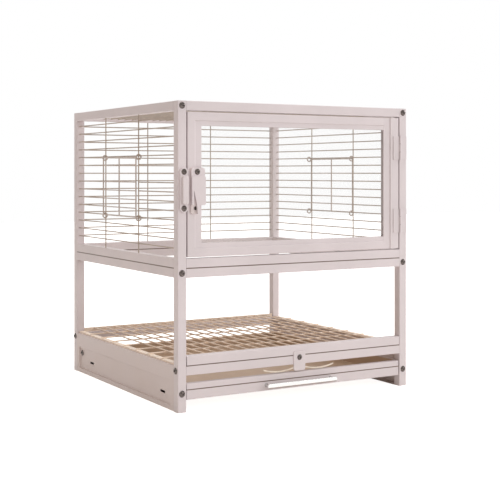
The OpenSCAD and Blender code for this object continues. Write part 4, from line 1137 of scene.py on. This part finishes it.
class CAGE_OT_stage(Operator):
    """Makes the pale floor, the lights and the camera"""

    bl_idname = "cage.stage"
    bl_label = "Set the stage"

    # The world's light from its dim and its pale side, and the way to the pale one
    DIM, PALE, TO_PALE = (0.15, 0.11, 0.085), (0.86, 0.84, 0.83), (0.8, -0.35, 0.48)
    WHITE = (1.0, 1.0, 1.0)
    # The floor as the camera sees it and as the cage is lit by it, and half its side in metres
    FLOOR_SEEN, FLOOR_GLOW, FLOOR_HALF = (0.88, 0.88, 0.88), (0.1, 0.095, 0.09), 6.0
    # The camera's place in metres, its turn in degrees, and its shift and sensor
    CAMERA_AT, CAMERA_TURN, SHIFT_Y, SENSOR = (-0.9904, -1.74305, 0.376), -30.375, -0.1556, 36.0

    def execute(self, context):
        look = context.scene.cage_looks
        scene = context.scene
        self.world(scene)
        self.floor()
        # Each lamp's place, target and size in metres, its power and its colour
        self.lamp("Key", (2.2, -3.7, 2.3), (0.0, -0.1, 0.22), 2.2, look.key, (1.0, 0.985, 0.98))
        self.lamp("Left fill", (-1.7, -0.3, 1.7), (-0.2, 0.0, 0.25), 1.0, look.fill, (1.0, 0.86, 0.74))
        self.lamp("Shine", (2.7, -0.5, 1.35), (0.0, -0.22, 0.25), 0.4, look.shine, (1.0, 0.99, 0.98))
        self.lamp("Top", (0.1, 0.1, 2.5), (0.0, 0.0, 0.1), 1.2, look.top, (1.0, 0.93, 0.86))
        self.camera(scene, look.lens)
        scene.view_settings.view_transform = "Standard"
        return {"FINISHED"}

    def camera(self, scene, focal_length):
        """Level camera before the cage's left corner."""
        lens = bpy.data.cameras.new("Camera")
        lens.lens = focal_length
        lens.sensor_width = self.SENSOR
        lens.shift_y = self.SHIFT_Y
        camera = bpy.data.objects.new("Camera", lens)
        camera.location = self.CAMERA_AT
        camera.rotation_euler = (math.radians(90), 0.0, math.radians(self.CAMERA_TURN))
        scene.collection.objects.link(camera)
        scene.camera = camera

    def world(self, scene):
        """White where it is seen; as light, pale from the upper right and dim and warm from the left."""
        world = bpy.data.worlds.new("Studio")
        scene.world = world
        world.use_nodes = True
        tree = world.node_tree
        towards = tree.nodes.new("ShaderNodeVectorMath")
        towards.operation = "DOT_PRODUCT"
        towards.inputs[1].default_value = Vector(self.TO_PALE).normalized()
        tree.links.new(tree.nodes.new("ShaderNodeTexCoord").outputs["Generated"], towards.inputs[0])
        glow = mixed(tree, Sock(tree, towards.outputs["Value"]).step(-0.35, 0.8), self.DIM, self.PALE)
        plug(tree, tree.nodes["Background"].inputs["Color"], mixed(tree, seen(tree), glow, self.WHITE))

    def floor(self):
        """Pale floor that reads as white where it is seen and keeps a faint shadow."""
        s = Shader("Floor")
        grain = s.noise(3.0, 4.0, 0.5)
        s.set(Base_Color=s.mix(grain, (0.78, 0.76, 0.74), (0.82, 0.8, 0.78)), Roughness=0.9)
        s.set(Emission_Color=s.mix(seen(s.tree), self.FLOOR_GLOW, self.FLOOR_SEEN), Emission_Strength=1.0)
        part = bmesh.new()
        bmesh.ops.create_grid(part, x_segments=1, y_segments=1, size=self.FLOOR_HALF)
        mesh = bpy.data.meshes.new("Floor")
        part.to_mesh(mesh)
        part.free()
        mesh.materials.append(s.material)
        floor = bpy.data.objects.new("Floor", mesh)
        bpy.context.scene.collection.objects.link(floor)

    def lamp(self, name, place, target, size, power, colour):
        """Square lamp at a place, aimed at a target."""
        data = bpy.data.lights.new(name, "AREA")
        data.size = size
        data.energy = power
        data.color = colour
        lamp = bpy.data.objects.new(name, data)
        lamp.location = place
        lamp.rotation_euler = (Vector(target) - Vector(place)).to_track_quat("-Z", "Y").to_euler()
        bpy.context.scene.collection.objects.link(lamp)


# ---------------------------------------------------------------- panel and run


class CAGE_PT_looks(Panel):
    """Sidebar panel with the cage's settings and operators"""

    bl_label = "Cage looks"
    bl_idname = "CAGE_PT_looks"
    bl_space_type = "VIEW_3D"
    bl_region_type = "UI"
    bl_category = "Cage"

    def draw(self, context):
        look = context.scene.cage_looks
        for name in look.__annotations__:
            self.layout.prop(look, name)
        for made in OPERATORS:
            self.layout.operator(made.bl_idname)


OPERATORS = (
    CAGE_OT_solids, CAGE_OT_door, CAGE_OT_hinges, CAGE_OT_latch, CAGE_OT_screws, CAGE_OT_side_plates,
    CAGE_OT_drawer, CAGE_OT_small, CAGE_OT_welds, CAGE_OT_stage,
)
CLASSES = (CageSettings, *OPERATORS, CAGE_PT_looks)


def register():
    for made in CLASSES:
        bpy.utils.register_class(made)
    bpy.types.Scene.cage_looks = PointerProperty(type=CageSettings)


def unregister():
    del bpy.types.Scene.cage_looks
    for made in reversed(CLASSES):
        bpy.utils.unregister_class(made)


def main():
    """Builds the looks in order."""
    register()
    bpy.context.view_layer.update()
    for made in OPERATORS:
        group, name = made.bl_idname.split(".")
        getattr(getattr(bpy.ops, group), name)()


if __name__ == "__main__":
    main()
